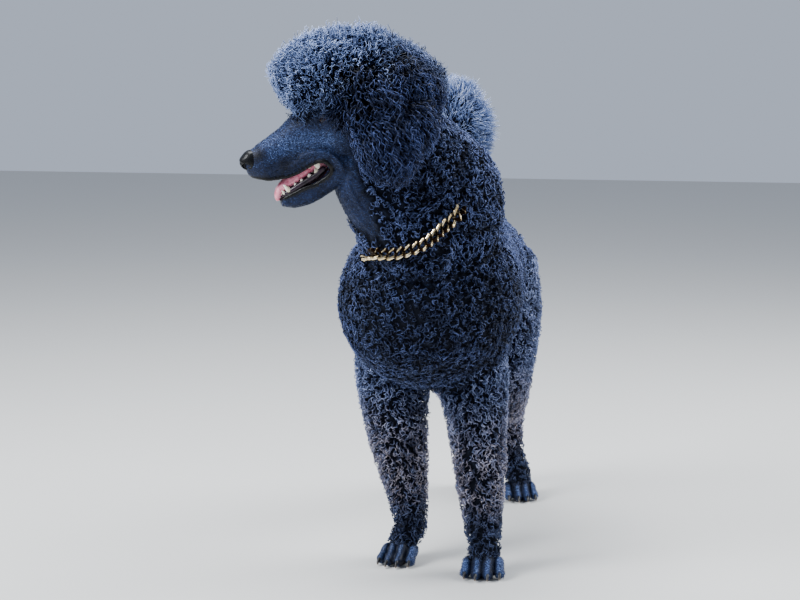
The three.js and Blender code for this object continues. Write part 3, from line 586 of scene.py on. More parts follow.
# One line round each side of the mouth: under the nose, along the upper lip, round the corner and back to
# the chin
lipLine = [(8, -34, 5), (20, -41, 13), (32, -47, 18), (48, -50.5, 21), (64, -53, 23), (82, -52, 26),
           (102, -48, 30), (115, -47, 34), (125, -50, 37.5), (130, -58, 37), (131, -67, 34), (123, -75, 31),
           (109, -79, 27.5), (96, -81.5, 25.5), (81, -80.5, 23), (66, -82.5, 20), (52, -84, 16.5),
           (43, -86, 11), (38, -88, 2)]


def gazeOf(side):
    back, up, out = eye["gaze"]
    return headWay(back, up, side * out).normalized()


def eyeCentre(side):
    back, up, out = eye["place"]
    return headPoint(back, up, side * out)


# A lid is a soft roll from one corner of the eye to the other, over the ball or under it
def lid(side, high):
    gaze = gazeOf(side)
    across = headUp.cross(gaze).normalized()
    upright = gaze.cross(across)
    sections = []
    for turn in (-62, -42, -20, 0, 20, 42, 62):
        lift = math.radians(high) * math.cos(math.radians(turn * 90 / 62.5)) ** 0.7
        flat = math.radians(turn)
        way = gaze * math.cos(flat) * math.cos(lift) + across * math.sin(flat) + upright * math.sin(lift)
        sections.append(section(eyeCentre(side) + way.normalized() * 12.2, 3.6, 3, 0, upright))
    return modelLimb("lid", sections, 0, 12, 3, (0.7, 0.7))


def modelHead():
    pieces = [modelLimb("skull", [headSection(*place) for place in skull], 0, 32, 4, (0.5, 0.6)),
              modelLimb("throat", limbs["throat"], 0.5, 28, 4)]
    upper = remesh(joinPieces("upperHead", pieces), 1.8, 6)
    palate = [headSection(*place, 2.4) for place in face["palate"]]
    cut(upper, modelLimb("palate", palate, 0, 24, 4, (0.3, 0.3)))
    for side in (1, -1):
        cut(upper, headBall("socket", side, eye["place"], (eye["socket"],) * 3))
    jaw = [headSection(*place, 3) for place in face["jaw"]]
    parts = [upper, modelLimb("jaw", jaw, 0, 28, 4, (0.4, 0.7))]
    for side in (1, -1):
        flews = [section(headPoint(back, up, side * out), wide, deep, 0, headLeft)
                 for back, up, out, wide, deep in face["flews"]]
        parts += [roll("throatFold", fold, side, 3.4) for fold in face["throatFolds"]]
        parts += [roll("lips", lipLine, side, 3.4), roll("cheekFold", face["cheekFold"], side, 3)]
        parts.append(modelLimb("flews", flews, 0, 16, 3))
        parts += [lid(side, high) for high in eye["lids"]]
        parts += [earLeather(side), headBall("brow", side, *face["brow"]),
                  headBall("mouthCorner", side, *face["mouthCorner"])]
    parts.append(headBall("mouthBack", 1, *face["mouthBack"]))
    return remesh(joinPieces("headSkin", parts), 2, 4)


# Each paw: where it stands, its turn, the spread of its toes, and the ankle inside the end of the coat
paws = {"foreLeft": {"at": (82, -270), "turn": 4, "spread": 19, "ankle": (79, -251)},
        "foreRight": {"at": (-77, -212), "turn": -10, "spread": 17.5, "ankle": (-65, -188)},
        "hindLeft": {"at": (61, 330), "turn": 18, "spread": 16.5, "ankle": (50, 338)},
        "hindRight": {"at": (-42, 388), "turn": 0, "spread": 16.5, "ankle": (-37, 389)}}
toes = {"slots": (-1.45, -0.5, 0.5, 1.45), "fan": 1.1}


def pawFrame(paw):
    turn = math.radians(paw["turn"])
    ahead = Vector((math.sin(turn), -math.cos(turn), 0))
    left = Vector((math.cos(turn), math.sin(turn), 0))
    centre = Vector((*paw["at"], 0))
    return left, lambda forward, out, z: centre + ahead * forward + left * out + Vector((0, 0, z))


# The outer two toes start farther back and lower
def toeStart(slot):
    return (-13, 20) if abs(slot) > 1 else (-2, 26)


# Whatever would sink below the floor is pressed flat on it
def pressOnFloor(piece):
    for vertex in piece.data.vertices:
        vertex.co.z = max(vertex.co.z, 0.0)


def modelPaw(name, paw):
    left, place = pawFrame(paw)
    thick = paw["spread"] / 19
    pieces = []
    for slot in toes["slots"]:
        start, rise = toeStart(slot)
        out = slot * paw["spread"]
        toe = [section(place(start, out * 0.8, rise), 6.6 * thick, 8, 0, left),
               section(place(start + 13, out * 0.93, rise + 3), 9.2 * thick, 11.2, 0, left),
               section(place(start + 22, out * 1.01, 24), 8.4 * thick, 9.6, 0, left),
               section(place(start + 31, out * 1.06, 17), 7.8 * thick, 8.6, 0, left),
               section(place(start + 40, out * toes["fan"], 10.4), 9 * thick, 10.4, 0, left)]
        pieces.append(modelLimb("toe", toe, 0, 16, 4, (0.3, 0.9)))
    ankle = Vector((*paw["ankle"], 76))
    wrist = [section(ankle, 17, 20, 0, left), section(ankle.lerp(place(-14, 0, 40), 0.5), 20, 23, 0, left),
             section(place(-13, 0, 40), 24 * thick, 24, 0, left),
             section(place(-10, 0, 26), 25 * thick, 20, 0, left)]
    pieces.append(modelLimb("wrist", wrist, 0, 20, 3, (0.5, 0.5)))
    upright = Vector((0, 0, 1))
    pieces.append(modelBall("pad", place(-10, 0, 11), (20, 18, 13), left, upright))
    pieces.append(modelBall("web", place(13, 0, 12), (25 * thick, 22, 13), left, upright))
    foot = remesh(joinPieces(name, pieces), 2, 1)
    pressOnFloor(foot)
    return foot


def modelClaws():
    claws = []
    for paw in paws.values():
        left, place = pawFrame(paw)
        for slot in toes["slots"]:
            start, _ = toeStart(slot)
            out = slot * paw["spread"] * toes["fan"]
            claw = [section(place(start + 43, out, 12), 3.2, 3.8, 0, left),
                    section(place(start + 49, out * 1.01, 11), 3, 3.6, 0, left),
                    section(place(start + 53.5, out * 1.02, 7.5), 2.5, 2.9, 0, left),
                    section(place(start + 55.5, out * 1.03, 4), 1.5, 1.8, 0, left)]
            claws.append(modelLimb("claw", claw, 0, 12, 3, (0.3, 0.8)))
    finish(joinPieces("claws", claws), horn(), None)


# Nose leather: a squarish pad with comma-shaped nostrils and side slits
nose = {"pad": [(2, -3, -24, 11), (5, 3, -27, 15), (11, 7, -29, 17.5), (18, 9, -29, 18),
                (24, 8, -26, 16.5)],
        "nostril": [(0, -14, 8, 4.6), (6, -12, 10.5, 5), (14, -9, 12, 3.4)],
        "slit": [(4, -15, 12, 2), (9, -16, 16, 2), (14, -16, 20, 1.8)]}


def modelNose():
    pad = [headSection(*place, 2.5) for place in nose["pad"]]
    pad = remesh(modelLimb("noseLeather", pad, 0, 28, 4, (0.5, 0.5)), 1, 3)
    holes = [tube(name, nose[name], side) for name in ("nostril", "slit") for side in (1, -1)]
    cut(pad, remesh(joinPieces("nostrils", holes), 0.7, 1))
    remesh(pad, 0.8, 2)
    finish(pad, moistSkin("moistNoseLeather", "#010102", "#04060a", 700, 0.4, 0.0005, 0.16), "nose", "nose")


def modelEye(name, side, film, node):
    gaze = gazeOf(side)
    ball = modelBall(name, eyeCentre(side), (eye["radius"],) * 3, headUp.cross(gaze).normalized(), gaze, 48)
    layer = ball.data.attributes.new("iris", "FLOAT", "POINT")
    middle = metres(eyeCentre(side))
    for vertex, value in zip(ball.data.vertices, layer.data):
        value.value = (vertex.co - middle).angle(gaze) / (math.pi / 2)
    finish(ball, film, "eye", node)


# Tongue: back, top, bottom and half-width along the jaw, hanging over the lower teeth at its tip
tongue = [(140, -48, -66, 18), (112, -46, -62, 19), (90, -48, -66, 18), (70, -51, -72, 17),
          (54, -56, -74, 15.5), (43, -62, -77, 14), (36, -71, -83, 12), (33, -80, -88, 9)]


def modelTongue():
    piece = modelLimb("tongueFlesh", [headSection(*place, 2.4) for place in tongue], 0, 28, 4, (0.5, 0.8))
    cut(piece, tube("middleLine", [(back, top + 0.6, 0, 1.6) for back, top, _, _ in tongue[:-2]]))
    remesh(piece, 1.1, 3)
    finish(piece, moistSkin("moistTongue", "#c65a72", "#f0a2b4", 900, 0.3, 0.0004), "tongue", "tongue")


# Gums: a ridge inside each side of the lips, with the teeth along it, as back, up, out and radius
gums = {"gum": [(120, -62, 23, 5), (100, -69, 20.5, 5.5), (80, -73, 18, 5.5), (62, -77, 15, 5.5),
                (50, -80, 11, 5.5), (43, -82, 4, 5)],
        "upperGum": [(118, -44, 24, 4.5), (100, -45, 21, 4.5), (84, -47, 17, 4)]}


def modelGums():
    ridges = [tube(name, places, side) for name, places in gums.items() for side in (1, -1)]
    finish(remesh(joinPieces("gums", ridges), 1.2, 3),
           moistSkin("moistGums", "#09080c", "#30222d", 500, 0.28, 0.0004), None)


# Teeth: place of the base and the tip, then half-length along the jaw and half-thickness
teeth = [((57, -80, 15), (50, -64, 18), 4.2, 3.4), ((47, -80, 12), (44, -72, 12.5), 2.4, 2.2),
         ((44, -81, 7.5), (41, -73, 8), 2.4, 2.2), ((43, -81, 2.6), (40, -73.5, 2.8), 2.4, 2.2),
         ((68, -76, 15.5), (68, -67.5, 16.5), 3.6, 2.4), ((81, -74, 18), (80, -65, 18.5), 4.6, 2.6),
         ((96, -71, 20.5), (94, -61.5, 20.5), 5.4, 2.8), ((109, -67, 22.5), (107, -57, 22), 5.6, 3),
         ((113, -44, 24.5), (112, -58, 25.5), 6.4, 3.2), ((100, -44, 22), (99, -53, 23), 4.8, 2.8),
         ((40, -40, 14), (42, -52, 15), 3.6, 3)]


def modelTeeth():
    pieces = []
    for base, tip, long, thick in teeth:
        for side in (1, -1):
            root, end = (headPoint(back, up, side * out) for back, up, out in (base, tip))
            tooth = [section(root.lerp(end, share), long * wide, thick * wide, 0, headForward)
                     for share, wide in ((0, 0.85), (0.35, 1), (0.7, 0.72), (1, 0.28))]
            pieces.append(modelLimb("tooth", tooth, 0, 10, 3, (0.3, 0.6)))
    finish(joinPieces("teeth", pieces), enamel(), None)


def trianglesOf(piece):
    return sum(len(polygon.vertices) - 2 for polygon in piece.data.polygons)


# The skin: body under half the coat's depth, then head and paws, joined into one and unwrapped
skinTriangles = 180000
print("modelling the skin")
guide = modelGuide()
skin = remesh(joinPieces("bodySkin", modelLimbs(0.5)), 7.5, 5)
finer = [modelHead()] + [modelPaw(name, paw) for name, paw in paws.items()]
for piece in finer:
    applyModifier(skin, "BOOLEAN", operation="UNION", object=piece, solver="MANIFOLD")
    bpy.data.objects.remove(piece)
skin.name = "skin"
print("skin triangles", trianglesOf(skin))
applyModifier(skin, "DECIMATE", ratio=min(1, skinTriangles / trianglesOf(skin)))
select(skin)
bpy.ops.object.mode_set(mode="EDIT")
bpy.ops.mesh.select_all(action="SELECT")
bpy.ops.uv.smart_project(angle_limit=math.radians(66), island_margin=0.001)
bpy.ops.object.mode_set(mode="OBJECT")
skin.data.uv_layers[0].name = "OFBake"
bpy.ops.object.shade_smooth()
print("skin unwrapped")


def meshArrays(piece):
    mesh = piece.data
    mesh.calc_loop_triangles()
    points, normals = np.zeros(len(mesh.vertices) * 3), np.zeros(len(mesh.vertices) * 3)
    mesh.vertices.foreach_get("co", points)
    mesh.vertices.foreach_get("normal", normals)
    corners = np.zeros(len(mesh.loop_triangles) * 3, int)
    mesh.loop_triangles.foreach_get("vertices", corners)
    loops = np.zeros(len(mesh.loop_triangles) * 3, int)
    mesh.loop_triangles.foreach_get("loops", loops)
    return points.reshape(-1, 3), normals.reshape(-1, 3), corners.reshape(-1, 3), loops.reshape(-1, 3)


skinPoints, _, skinCorners, skinLoops = meshArrays(skin)
skinTree = BVHTree.FromPolygons([tuple(p) for p in skinPoints], [tuple(c) for c in skinCorners])
skinMap = np.zeros(len(skin.data.loops) * 2)
skin.data.uv_layers["OFBake"].data.foreach_get("uv", skinMap)
skinMap = skinMap.reshape(-1, 2)


def unit(vectors):
    return vectors / np.maximum(np.linalg.norm(vectors, axis=1, keepdims=True), 1e-9)


# Places spread over a surface, one in each small cell of space
def spreadOver(piece, spacing, wanted=None):
    points, normals, corners, _ = meshArrays(piece)
    if wanted:
        corners = corners[wanted(points[corners].mean(1))]
    a, b, c = (points[corners[:, k]] for k in range(3))
    areas = np.linalg.norm(np.cross(b - a, c - a), axis=1) / 2
    count = int(areas.sum() / spacing ** 2 * 8)
    chosen = rng.choice(len(areas), count, p=areas / areas.sum())
    s, t = rng.random(count), rng.random(count)
    over = s + t > 1
    s[over], t[over] = 1 - s[over], 1 - t[over]
    weights = np.stack([1 - s - t, s, t], 1)[:, :, None]
    places = (points[corners[chosen]] * weights).sum(1)
    ways = unit((normals[corners[chosen]] * weights).sum(1))
    cells = np.floor(places / (spacing * 1.2)).astype(int)
    _, first = np.unique(cells, axis=0, return_index=True)
    return places[first], ways[first]


def toHead(points):
    away = (points - np.array(metres(noseTip))) * 1000
    return -away @ np.array(headForward), away @ np.array(headUp), away @ np.array(headLeft)


# The number of the limb that each point is nearest to, or of the ears, which come after the limbs
def limbOf(points):
    rings = []
    for number, sections in enumerate(limbs.values()):
        for ring in ringsOf(sections, 0, 3):
            rings.append((number, metres(ring["at"]), ring["side"], ring["up"], ring["along"],
                          ring["wide"] / 1000, ring["deep"] / 1000))
    back, up, out = ear["place"]
    deep, wide, high = (size / 1000 for size in ear["size"])
    for side in (1, -1):
        for step in (0, 0.4, -0.4):
            centre = metres(headPoint(back, up, side * out)) + headUp * high * step
            rings.append((len(limbs), centre, headForward, headLeft, headUp, wide, deep))
    nearest = np.zeros(len(points), int)
    least = np.full(len(points), 9e9)
    for number, *rest in rings:
        centre, side, upward, along, wide, deep = (np.array(value, float) for value in rest)
        away = points - centre
        miss = np.abs(np.sqrt((away @ side / wide) ** 2 + (away @ upward / deep) ** 2
                              + (away @ along / np.minimum(wide, deep)) ** 2) - 1)
        closer = miss < least
        least[closer] = miss[closer]
        nearest[closer] = number
    return nearest


shaved = {"footHeight": 0.036, "roundEye": 0.019}  # metres over the floor and round the eye's socket


# The face, the feet and the throat are shaved, the throat down to a point that turns with the neck
def shavedPlaces(points):
    back, high, left = toHead(points)
    edge = np.interp(high, [-130, -60, -4, 12, 30], [170, 181, 178, 156, 150])
    brow = np.interp(back, [100, 125], [34, 28])
    bare = (high < brow) & (high > -130) & (back < edge) & (np.abs(left) < 78)
    front = np.interp(high, [-240, -200, -160, -122, -84], [214, 192, 176, 165, 166]) - back
    around = np.degrees(np.arctan2(left, front))
    middle = np.interp(high, [-205, -90], [58, 0])
    half = np.interp(high, [-205, -190, -137, -100, -60], [0, 14, 68, 85, 95])
    bare |= (high < -60) & (high > -205) & (np.abs(around - middle) < half) & (np.hypot(left, front) < 64)
    bare |= points[:, 2] < shaved["footHeight"]
    back, up, out = eye["place"]
    for side in (1, -1):
        socket = np.array(metres(headPoint(back - 8, up, side * (out + 8))))
        bare |= np.linalg.norm(points - socket, axis=1) < shaved["roundEye"]
    return bare


# How each kind of coat grows, in millimetres and degrees: how far apart and how wide the locks are, radius
# and turns of the curl, how far it lies over, the tilt of its axis, its rings, unevenness (spread), how
# soon it bends over (stoop), the size of the groups that curl alike, the depth below the tips where
# painted shade darkens it (shade), how light it stays there (floor) and on the locks' lower edges, which
# have painted shade (edge), the share of locks that stray and how far, how pale and how light it is
growth = {
    "body": {"apart": 6.1, "width": 3.1, "curl": 4.2, "turns": 1.25, "lay": 8, "tilt": (0, 65), "rings": 7,
             "spread": 0.6, "stoop": 1.7, "group": 11, "shade": 14, "floor": 0.18, "edge": 0.5,
             "stray": 0.05, "strayReach": 1.25, "pale": 0.12, "light": 1},
    "leg": {"apart": 5.5, "width": 3, "curl": 3.2, "turns": 1.3, "lay": 12, "tilt": (20, 85), "rings": 6,
            "spread": 0.6, "stoop": 2.4, "group": 9, "shade": 16, "floor": 0.62, "edge": 0.7,
            "stray": 0.05, "strayReach": 1.25, "pale": 0.3, "light": 1.13},
    "pompon": {"apart": 4, "width": 1.2, "curl": 1.7, "turns": 0.8, "lay": 10, "tilt": (0, 50), "rings": 6,
               "spread": 0.6, "stoop": 1.2, "group": 16, "shade": 90, "floor": 0.62, "edge": 0.88,
               "stray": 0.45, "strayReach": 1.45, "pale": 1, "light": 0.96},
    "topknot": {"apart": 4.65, "width": 1.95, "curl": 3.5, "turns": 1.4, "lay": 11, "tilt": (20, 80),
                "rings": 8, "spread": 0.6, "stoop": 1.8, "group": 12, "shade": 34, "floor": 0.33,
                "edge": 0.6, "stray": 0.12, "strayReach": 1.25, "pale": 0.3, "light": 0.98},
    "ear": {"apart": 5.1, "width": 3.2, "curl": 3.8, "turns": 2.2, "lay": 38, "tilt": (80, 92), "rings": 12,
            "spread": 0.16, "stoop": 4.5, "group": 15, "shade": 11, "floor": 0, "edge": 0.45,
            "stray": 0.05, "strayReach": 1.25, "pale": 0.05, "light": 1},
    "clipped": {"apart": 3, "width": 0.7, "curl": 0.15, "turns": 0.5, "lay": 5, "tilt": (0, 30), "rings": 3,
                "spread": 0.25, "stoop": 3, "group": 30, "shade": 9, "floor": 0, "edge": 0.5},
}
kindOf = {"trunk": "body", "neck": "body", "forelegLeft": "leg", "forelegRight": "leg",
          "hindlegLeft": "leg", "hindlegRight": "leg", "tail": "body", "pompon": "pompon",
          "topknot": "topknot", "throat": "body"}
limbKinds = [kindOf[name] for name in limbs] + ["ear"]


# The way each coat lies: back and down the body, down the legs and ears, up and back over the front of the
# topknot and down below its parting, and where it is clipped back along the head and down the feet
def layOf(kind, points):
    forward, upward = np.array(headForward), np.array(headUp)
    if kind == "topknot":
        back, high, left = toHead(points)
        parting = 10 + 55 * np.interp(np.abs(left), [25, 60], [0, 1]) * np.interp(back, [140, 185], [0, 1])
        lift = np.clip((high - parting) / 80, 0, 1)[:, None]
        return (upward * 0.8 - forward * 0.35) * lift - upward * (1 - lift)
    if kind == "clipped":
        return np.where(points[:, 2:] > 0.2, -forward - upward * 0.3, np.array([[0, -0.6, -0.8]]))
    ways = {"body": [0, 0.7, -0.75], "leg": [0, 0.25, -1.0], "ear": -upward + forward * 0.1,
            "pompon": [0, 0, 0.3]}
    return np.tile(ways[kind], (len(points), 1))


# Tufts: three-sided locks that rise from their roots and curl at the tip, a few neighbours alike
def tufts(kind, roots, ways, reach, lay):
    habit = growth[kind]
    count = len(roots)
    _, group = np.unique(np.floor(roots / (habit["group"] / 1000)).astype(int), axis=0, return_inverse=True)
    group = group.reshape(-1)
    groups = group.max() + 1
    shared = rng.random((groups, 4))[group] + rng.normal(0, 0.06, (count, 4))
    lay = unit(lay + rng.normal(0, habit["spread"], (groups, 3))[group] + rng.normal(0, 0.15, (count, 3)))
    lay = unit(lay - ways * (lay * ways).sum(1, keepdims=True))
    lean = unit(ways + rng.normal(0, 0.12, (count, 3)))
    low, high = np.radians(habit["tilt"])
    tilt = (low + (high - low) * shared[:, :1])
    axis = ways * np.cos(tilt) + lay * np.sin(tilt)
    across = unit(np.cross(ways, lay))
    second = np.cross(axis, across)
    s = np.linspace(0, 1, habit["rings"])[None, :, None]
    curl = (habit["curl"] / 1000 * (0.7 + 0.55 * shared[:, 1]))[:, None, None]
    tall = reach[:, None, None] - curl * 0.4
    over = (habit["lay"] / 1000 * rng.uniform(0.5, 1.3, count))[:, None, None]
    centre = (roots[:, None, :] + lean[:, None, :] * tall * (1 - (1 - s) ** habit["stoop"])
              + lay[:, None, :] * over * s ** 1.4)
    radius = curl * np.minimum(1, 2.2 * s) * (1 - 0.35 * s ** 2)
    turns = habit["turns"] * rng.uniform(0.85, 1.2, count) * np.where(shared[:, 2] > 0.5, 1, -1)
    angle = 2 * math.pi * (turns[:, None, None] * s ** 1.15 + shared[:, 3][:, None, None])
    centre = centre + radius * (np.cos(angle) * across[:, None, :] + np.sin(angle) * second[:, None, :])
    along = np.gradient(centre, axis=1)
    along /= np.maximum(np.linalg.norm(along, axis=2, keepdims=True), 1e-9)
    side = np.cross(along, np.broadcast_to(ways[:, None, :], along.shape))
    side /= np.maximum(np.linalg.norm(side, axis=2, keepdims=True), 1e-6)
    top = np.cross(side, along)
    width = (habit["width"] / 2000 * rng.uniform(0.75, 1.25, count))[:, None, None]
    width = width * (0.6 + 0.4 * np.sin(math.pi * np.minimum(1, 0.15 + s))) * (1 - 0.45 * s ** 4)
    corners = []
    for degrees in (90, 215, 325):
        turn = math.radians(degrees)
        corners.append(centre + side * width * math.cos(turn) + top * width * 0.8 * math.sin(turn))
    tip = centre[:, -1:, :] + along[:, -1:, :] * width[:, -1:, :] * 0.9
    body = np.stack(corners, 2)[:, :-1].reshape(count, -1, 3)
    return np.concatenate([body, tip], 1)


def tuftFaces(rings):
    faces = []
    for ring in range(rings - 2):
        for k in range(3):
            a, b = 3 * ring + k, 3 * ring + (k + 1) % 3
            faces += [(a, b, b + 3), (a, b + 3, a + 3)]
    last = 3 * (rings - 2)
    faces += [(last + k, last + (k + 1) % 3, 3 * (rings - 1)) for k in range(3)]
    return np.array(faces)


# Each root's place on the skin's unwrap
def rootPatches(roots):
    found = [skinTree.find_nearest(Vector(root)) for root in roots]
    at = np.array([f[0] for f in found])
    face = np.array([f[2] for f in found])
    a, b, c = (skinPoints[skinCorners[face, k]] for k in range(3))
    whole = np.cross(b - a, c - a)
    size = np.maximum((whole ** 2).sum(1), 1e-18)
    u = (np.cross(c - b, at - b) * whole).sum(1) / size
    v = (np.cross(a - c, at - c) * whole).sum(1) / size
    return sum(skinMap[skinLoops[face, k]] * weight[:, None] for k, weight in enumerate((u, v, 1 - u - v)))


def tuftMesh(name, points, faces):
    mesh = bpy.data.meshes.new(name)
    mesh.vertices.add(len(points))
    mesh.vertices.foreach_set("co", points.reshape(-1))
    mesh.loops.add(faces.size)
    mesh.loops.foreach_set("vertex_index", faces.reshape(-1))
    mesh.polygons.add(len(faces))
    mesh.polygons.foreach_set("loop_start", np.arange(0, faces.size, 3))
    mesh.polygons.foreach_set("use_smooth", np.ones(len(faces), bool))
    mesh.update(calc_edges=True)
    return mesh


# One piece of coat. Its tone is light, pale and brown. Each tuft has a small patch of the map at its root's
# place, so wide to each side and so long, in shares of the map.
patchSize = {"wide": 0.0012, "long": 0.003}


def coatPiece(name, kind, roots, ways, reach, lay, tone):
    habit = growth[kind]
    rings = habit["rings"]
    points = tufts(kind, roots, ways, reach, lay)
    count, each, _ = points.shape
    faces = (tuftFaces(rings)[None] + np.arange(count)[:, None, None] * each).reshape(-1, 3)
    mesh = tuftMesh(name, points.reshape(-1, 3), faces)
    s = np.concatenate([np.repeat(np.linspace(0, 1, rings)[:-1], 3), [1]])
    # The light is painted light and shade: painted shade below the coat's tips and towards each lock's
    # root, painted shade on its two lower edges, and a painted highlight along its top edge
    ridge = np.concatenate([np.tile([1, habit["edge"], habit["edge"]], rings - 1), [0.9]])
    below = reach[:, None] - ((points - roots[:, None, :]) * ways[:, None, :]).sum(2)
    lit = np.clip(1.1 - below / (habit["shade"] / 1000), habit["floor"], 1)
    colours = np.ones((count, each, 4), np.float32)
    colours[:, :, 0] = np.clip(lit * ridge * (0.6 + 0.4 * s) * tone[:, :1], 0, 1)
    colours[:, :, 1:3] = tone[:, None, 1:]
    layer = mesh.attributes.new("tone", "FLOAT_COLOR", "POINT")
    layer.data.foreach_set("color", colours.reshape(-1))
    across = np.concatenate([np.tile([-1, 0, 1], rings - 1), [0]]) * patchSize["wide"]
    patch = np.stack([np.tile(across, (count, 1)), np.tile((s - 0.5) * patchSize["long"], (count, 1))], 2)
    patch = patch + rootPatches(roots)[:, None, :]
    uv = mesh.uv_layers.new(name="OFBake")
    uv.data.foreach_set("uv", np.clip(patch.reshape(-1, 2), 0, 1)[faces.reshape(-1)].reshape(-1))
    mesh.materials.append(hair)
    piece = bpy.data.objects.new(name, mesh)
    bpy.context.scene.collection.objects.link(piece)
    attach(piece, "root")


mostTriangles = 190000  # in one piece of coat


def growCoat(kind, roots, ways, reach, lay, tone):
    each = len(tuftFaces(growth[kind]["rings"]))
    parts = max(1, math.ceil(len(roots) * each / mostTriangles))
    order = np.argsort(roots[:, 2] + roots[:, 1] * 0.3)
    for part, chosen in enumerate(np.array_split(order, parts)):
        name = kind + "Coat" + (str(part + 1) if parts > 1 else "")
        coatPiece(name, kind, roots[chosen], ways[chosen], reach[chosen], lay[chosen], tone[chosen])
    print(kind + "Coat", len(roots), "tufts", len(roots) * each, "triangles")


# Chain round the neck, in millimetres and degrees. Its places are turns from the dog's left, heights, and
# how far it lies out of the skin: on the coat in front, sunk in it elsewhere. Shown is how many of its
# stretches lie open, and hair nearer to those than clear is pressed down to the share named press.
chain = {"pitch": 13.6, "width": 17, "wire": 3, "overlap": 4.6, "twist": 4.2, "shear": 0.3, "lean": 14,
         "slant": -28, "axis": (-14, -318), "widest": 200, "steps": 50, "shown": 6.4, "clear": 14,
         "press": 0.5,
         "places": [(-160, 572, 4), (-132, 578, 11), (-112, 585, 15), (-96, 588, 16), (-80, 603, 17),
                    (-64, 630, 17), (-53, 650, 15), (-40, 670, -10), (-15, 690, -10), (25, 706, -9),
                    (70, 712, -9), (115, 698, -9), (150, 662, -9), (178, 606, 2)]}


def chainAxis(z):
    return metres((*chain["axis"], z))


# The chain's middle line, a closed curve. A ray out of the neck's axis finds the last skin before the
# widest reach.
def chainLine():
    knots = []
    for degrees, z, over in chain["places"]:
        turn = math.radians(degrees)
        way = Vector((math.cos(turn), math.sin(turn), 0))
        axis = chainAxis(z)
        hit = None
        start = axis
        while hit is None or (hit - axis).length <= chain["widest"] / 1000:
            found, _, _, _ = skinTree.ray_cast(start, way)
            if found is None:
                break
            hit = found
            start = found + way * 0.0005
        knots.append(hit + way * over / 1000)
    line = []
    for i in range(len(knots)):
        around = [knots[(i + k) % len(knots)] for k in (-1, 0, 1, 2)]
        line += [spline(*around, u) for u in np.arange(0, 1, 1 / chain["steps"])]
    return line


def evenPlaces(line, pitch):
    lengths = [(line[(i + 1) % len(line)] - line[i]).length for i in range(len(line))]
    total = sum(lengths)
    count = round(total / pitch)
    places, step, travelled, i = [], total / count, 0.0, 0
    for n in range(count):
        while travelled + lengths[i] < n * step:
            travelled += lengths[i]
            i += 1
        share = (n * step - travelled) / lengths[i]
        following = line[(i + 1) % len(line)]
        places.append((line[i].lerp(following, share), (following - line[i]).normalized()))
    return places


# One link: a ring drawn out, sheared and twisted, with painted shade inside, towards the neck and where it
# meets the next
def modelLink():
    deselect()
    wire, wide = chain["wire"] / 1000, chain["width"] / 2000
    half = chain["pitch"] / 2000 + chain["overlap"] / 1000
    slant = math.radians(chain["slant"])
    bpy.ops.mesh.primitive_torus_add(major_radius=wide - wire, minor_radius=wire, major_segments=24,
                                     minor_segments=10, location=(0, 0, 0))
    link = bpy.context.object
    # Painted shade at each point: dark inside the ring, on its side towards the neck and at its ends
    layer = link.data.attributes.new("hollow", "FLOAT", "POINT")
    for vertex, value in zip(link.data.vertices, layer.data):
        x, y, z = vertex.co
        turn = math.atan2(y, x)
        inner = (wide - wire - math.hypot(x, y)) / wire
        dark = max(1.5 * inner, 1.3 * z / wire + 0.2, (abs(math.cos(turn)) - 0.45) * 3.3)
        value.value = min(1, max(0, dark))
        z += chain["twist"] / 1000 * math.sin(turn) * math.cos(turn) * 2
        x += math.copysign(half - wide, x) if abs(x) > 1e-6 else 0
        x -= y * chain["shear"]
        vertex.co = (x * math.cos(slant) - y * math.sin(slant),
                     x * math.sin(slant) + y * math.cos(slant), z)
    return link


def modelChain(line):
    pattern = modelLink()
    lean = math.radians(chain["lean"])
    links = []
    for at, along in evenPlaces(line, chain["pitch"] / 1000):
        out = at - chainAxis(0)
        out.z = 0
        out = (out - along * out.dot(along)).normalized()
        across = along.cross(out) * math.cos(lean) + out * math.sin(lean)
        link = pattern.copy()
        link.data = pattern.data.copy()
        bpy.context.scene.collection.objects.link(link)
        turned = Matrix((along, across, along.cross(across))).transposed().to_4x4()
        link.data.transform(Matrix.Translation(at) @ turned)
        links.append(link)
    bpy.data.objects.remove(pattern)
    finish(joinPieces("collarChain", links), goldPlate(), "chain", "collar_chain")


# Each tip lies near the guide; where the guide dips into the skin, or runs close over it, the tuft stands
# out of it
tuftLength = {"least": 0.009, "most": 0.06, "search": 0.09}  # metres


def reachOf(here, normal):
    roots, reach = here.copy(), np.zeros(len(here))
    for i, (point, way) in enumerate(zip(here, normal)):
        near, facing, _, gap = skinTree.find_nearest(Vector(point))
        if (Vector(point) - near).dot(facing) < 0 or gap < tuftLength["least"]:
            roots[i], reach[i] = near, tuftLength["least"]
        else:
            found, _, _, distance = skinTree.ray_cast(Vector(point), Vector(-way), tuftLength["search"])
            reach[i] = min(distance if found else gap, tuftLength["most"])
            roots[i] = point - way * reach[i]
    return roots, reach


# Soft mounds of 30 mm in the coat
def moundsOf(places):
    return np.array([noise.noise(Vector(place) / 0.03 + Vector((3, 0, 0))) for place in places])
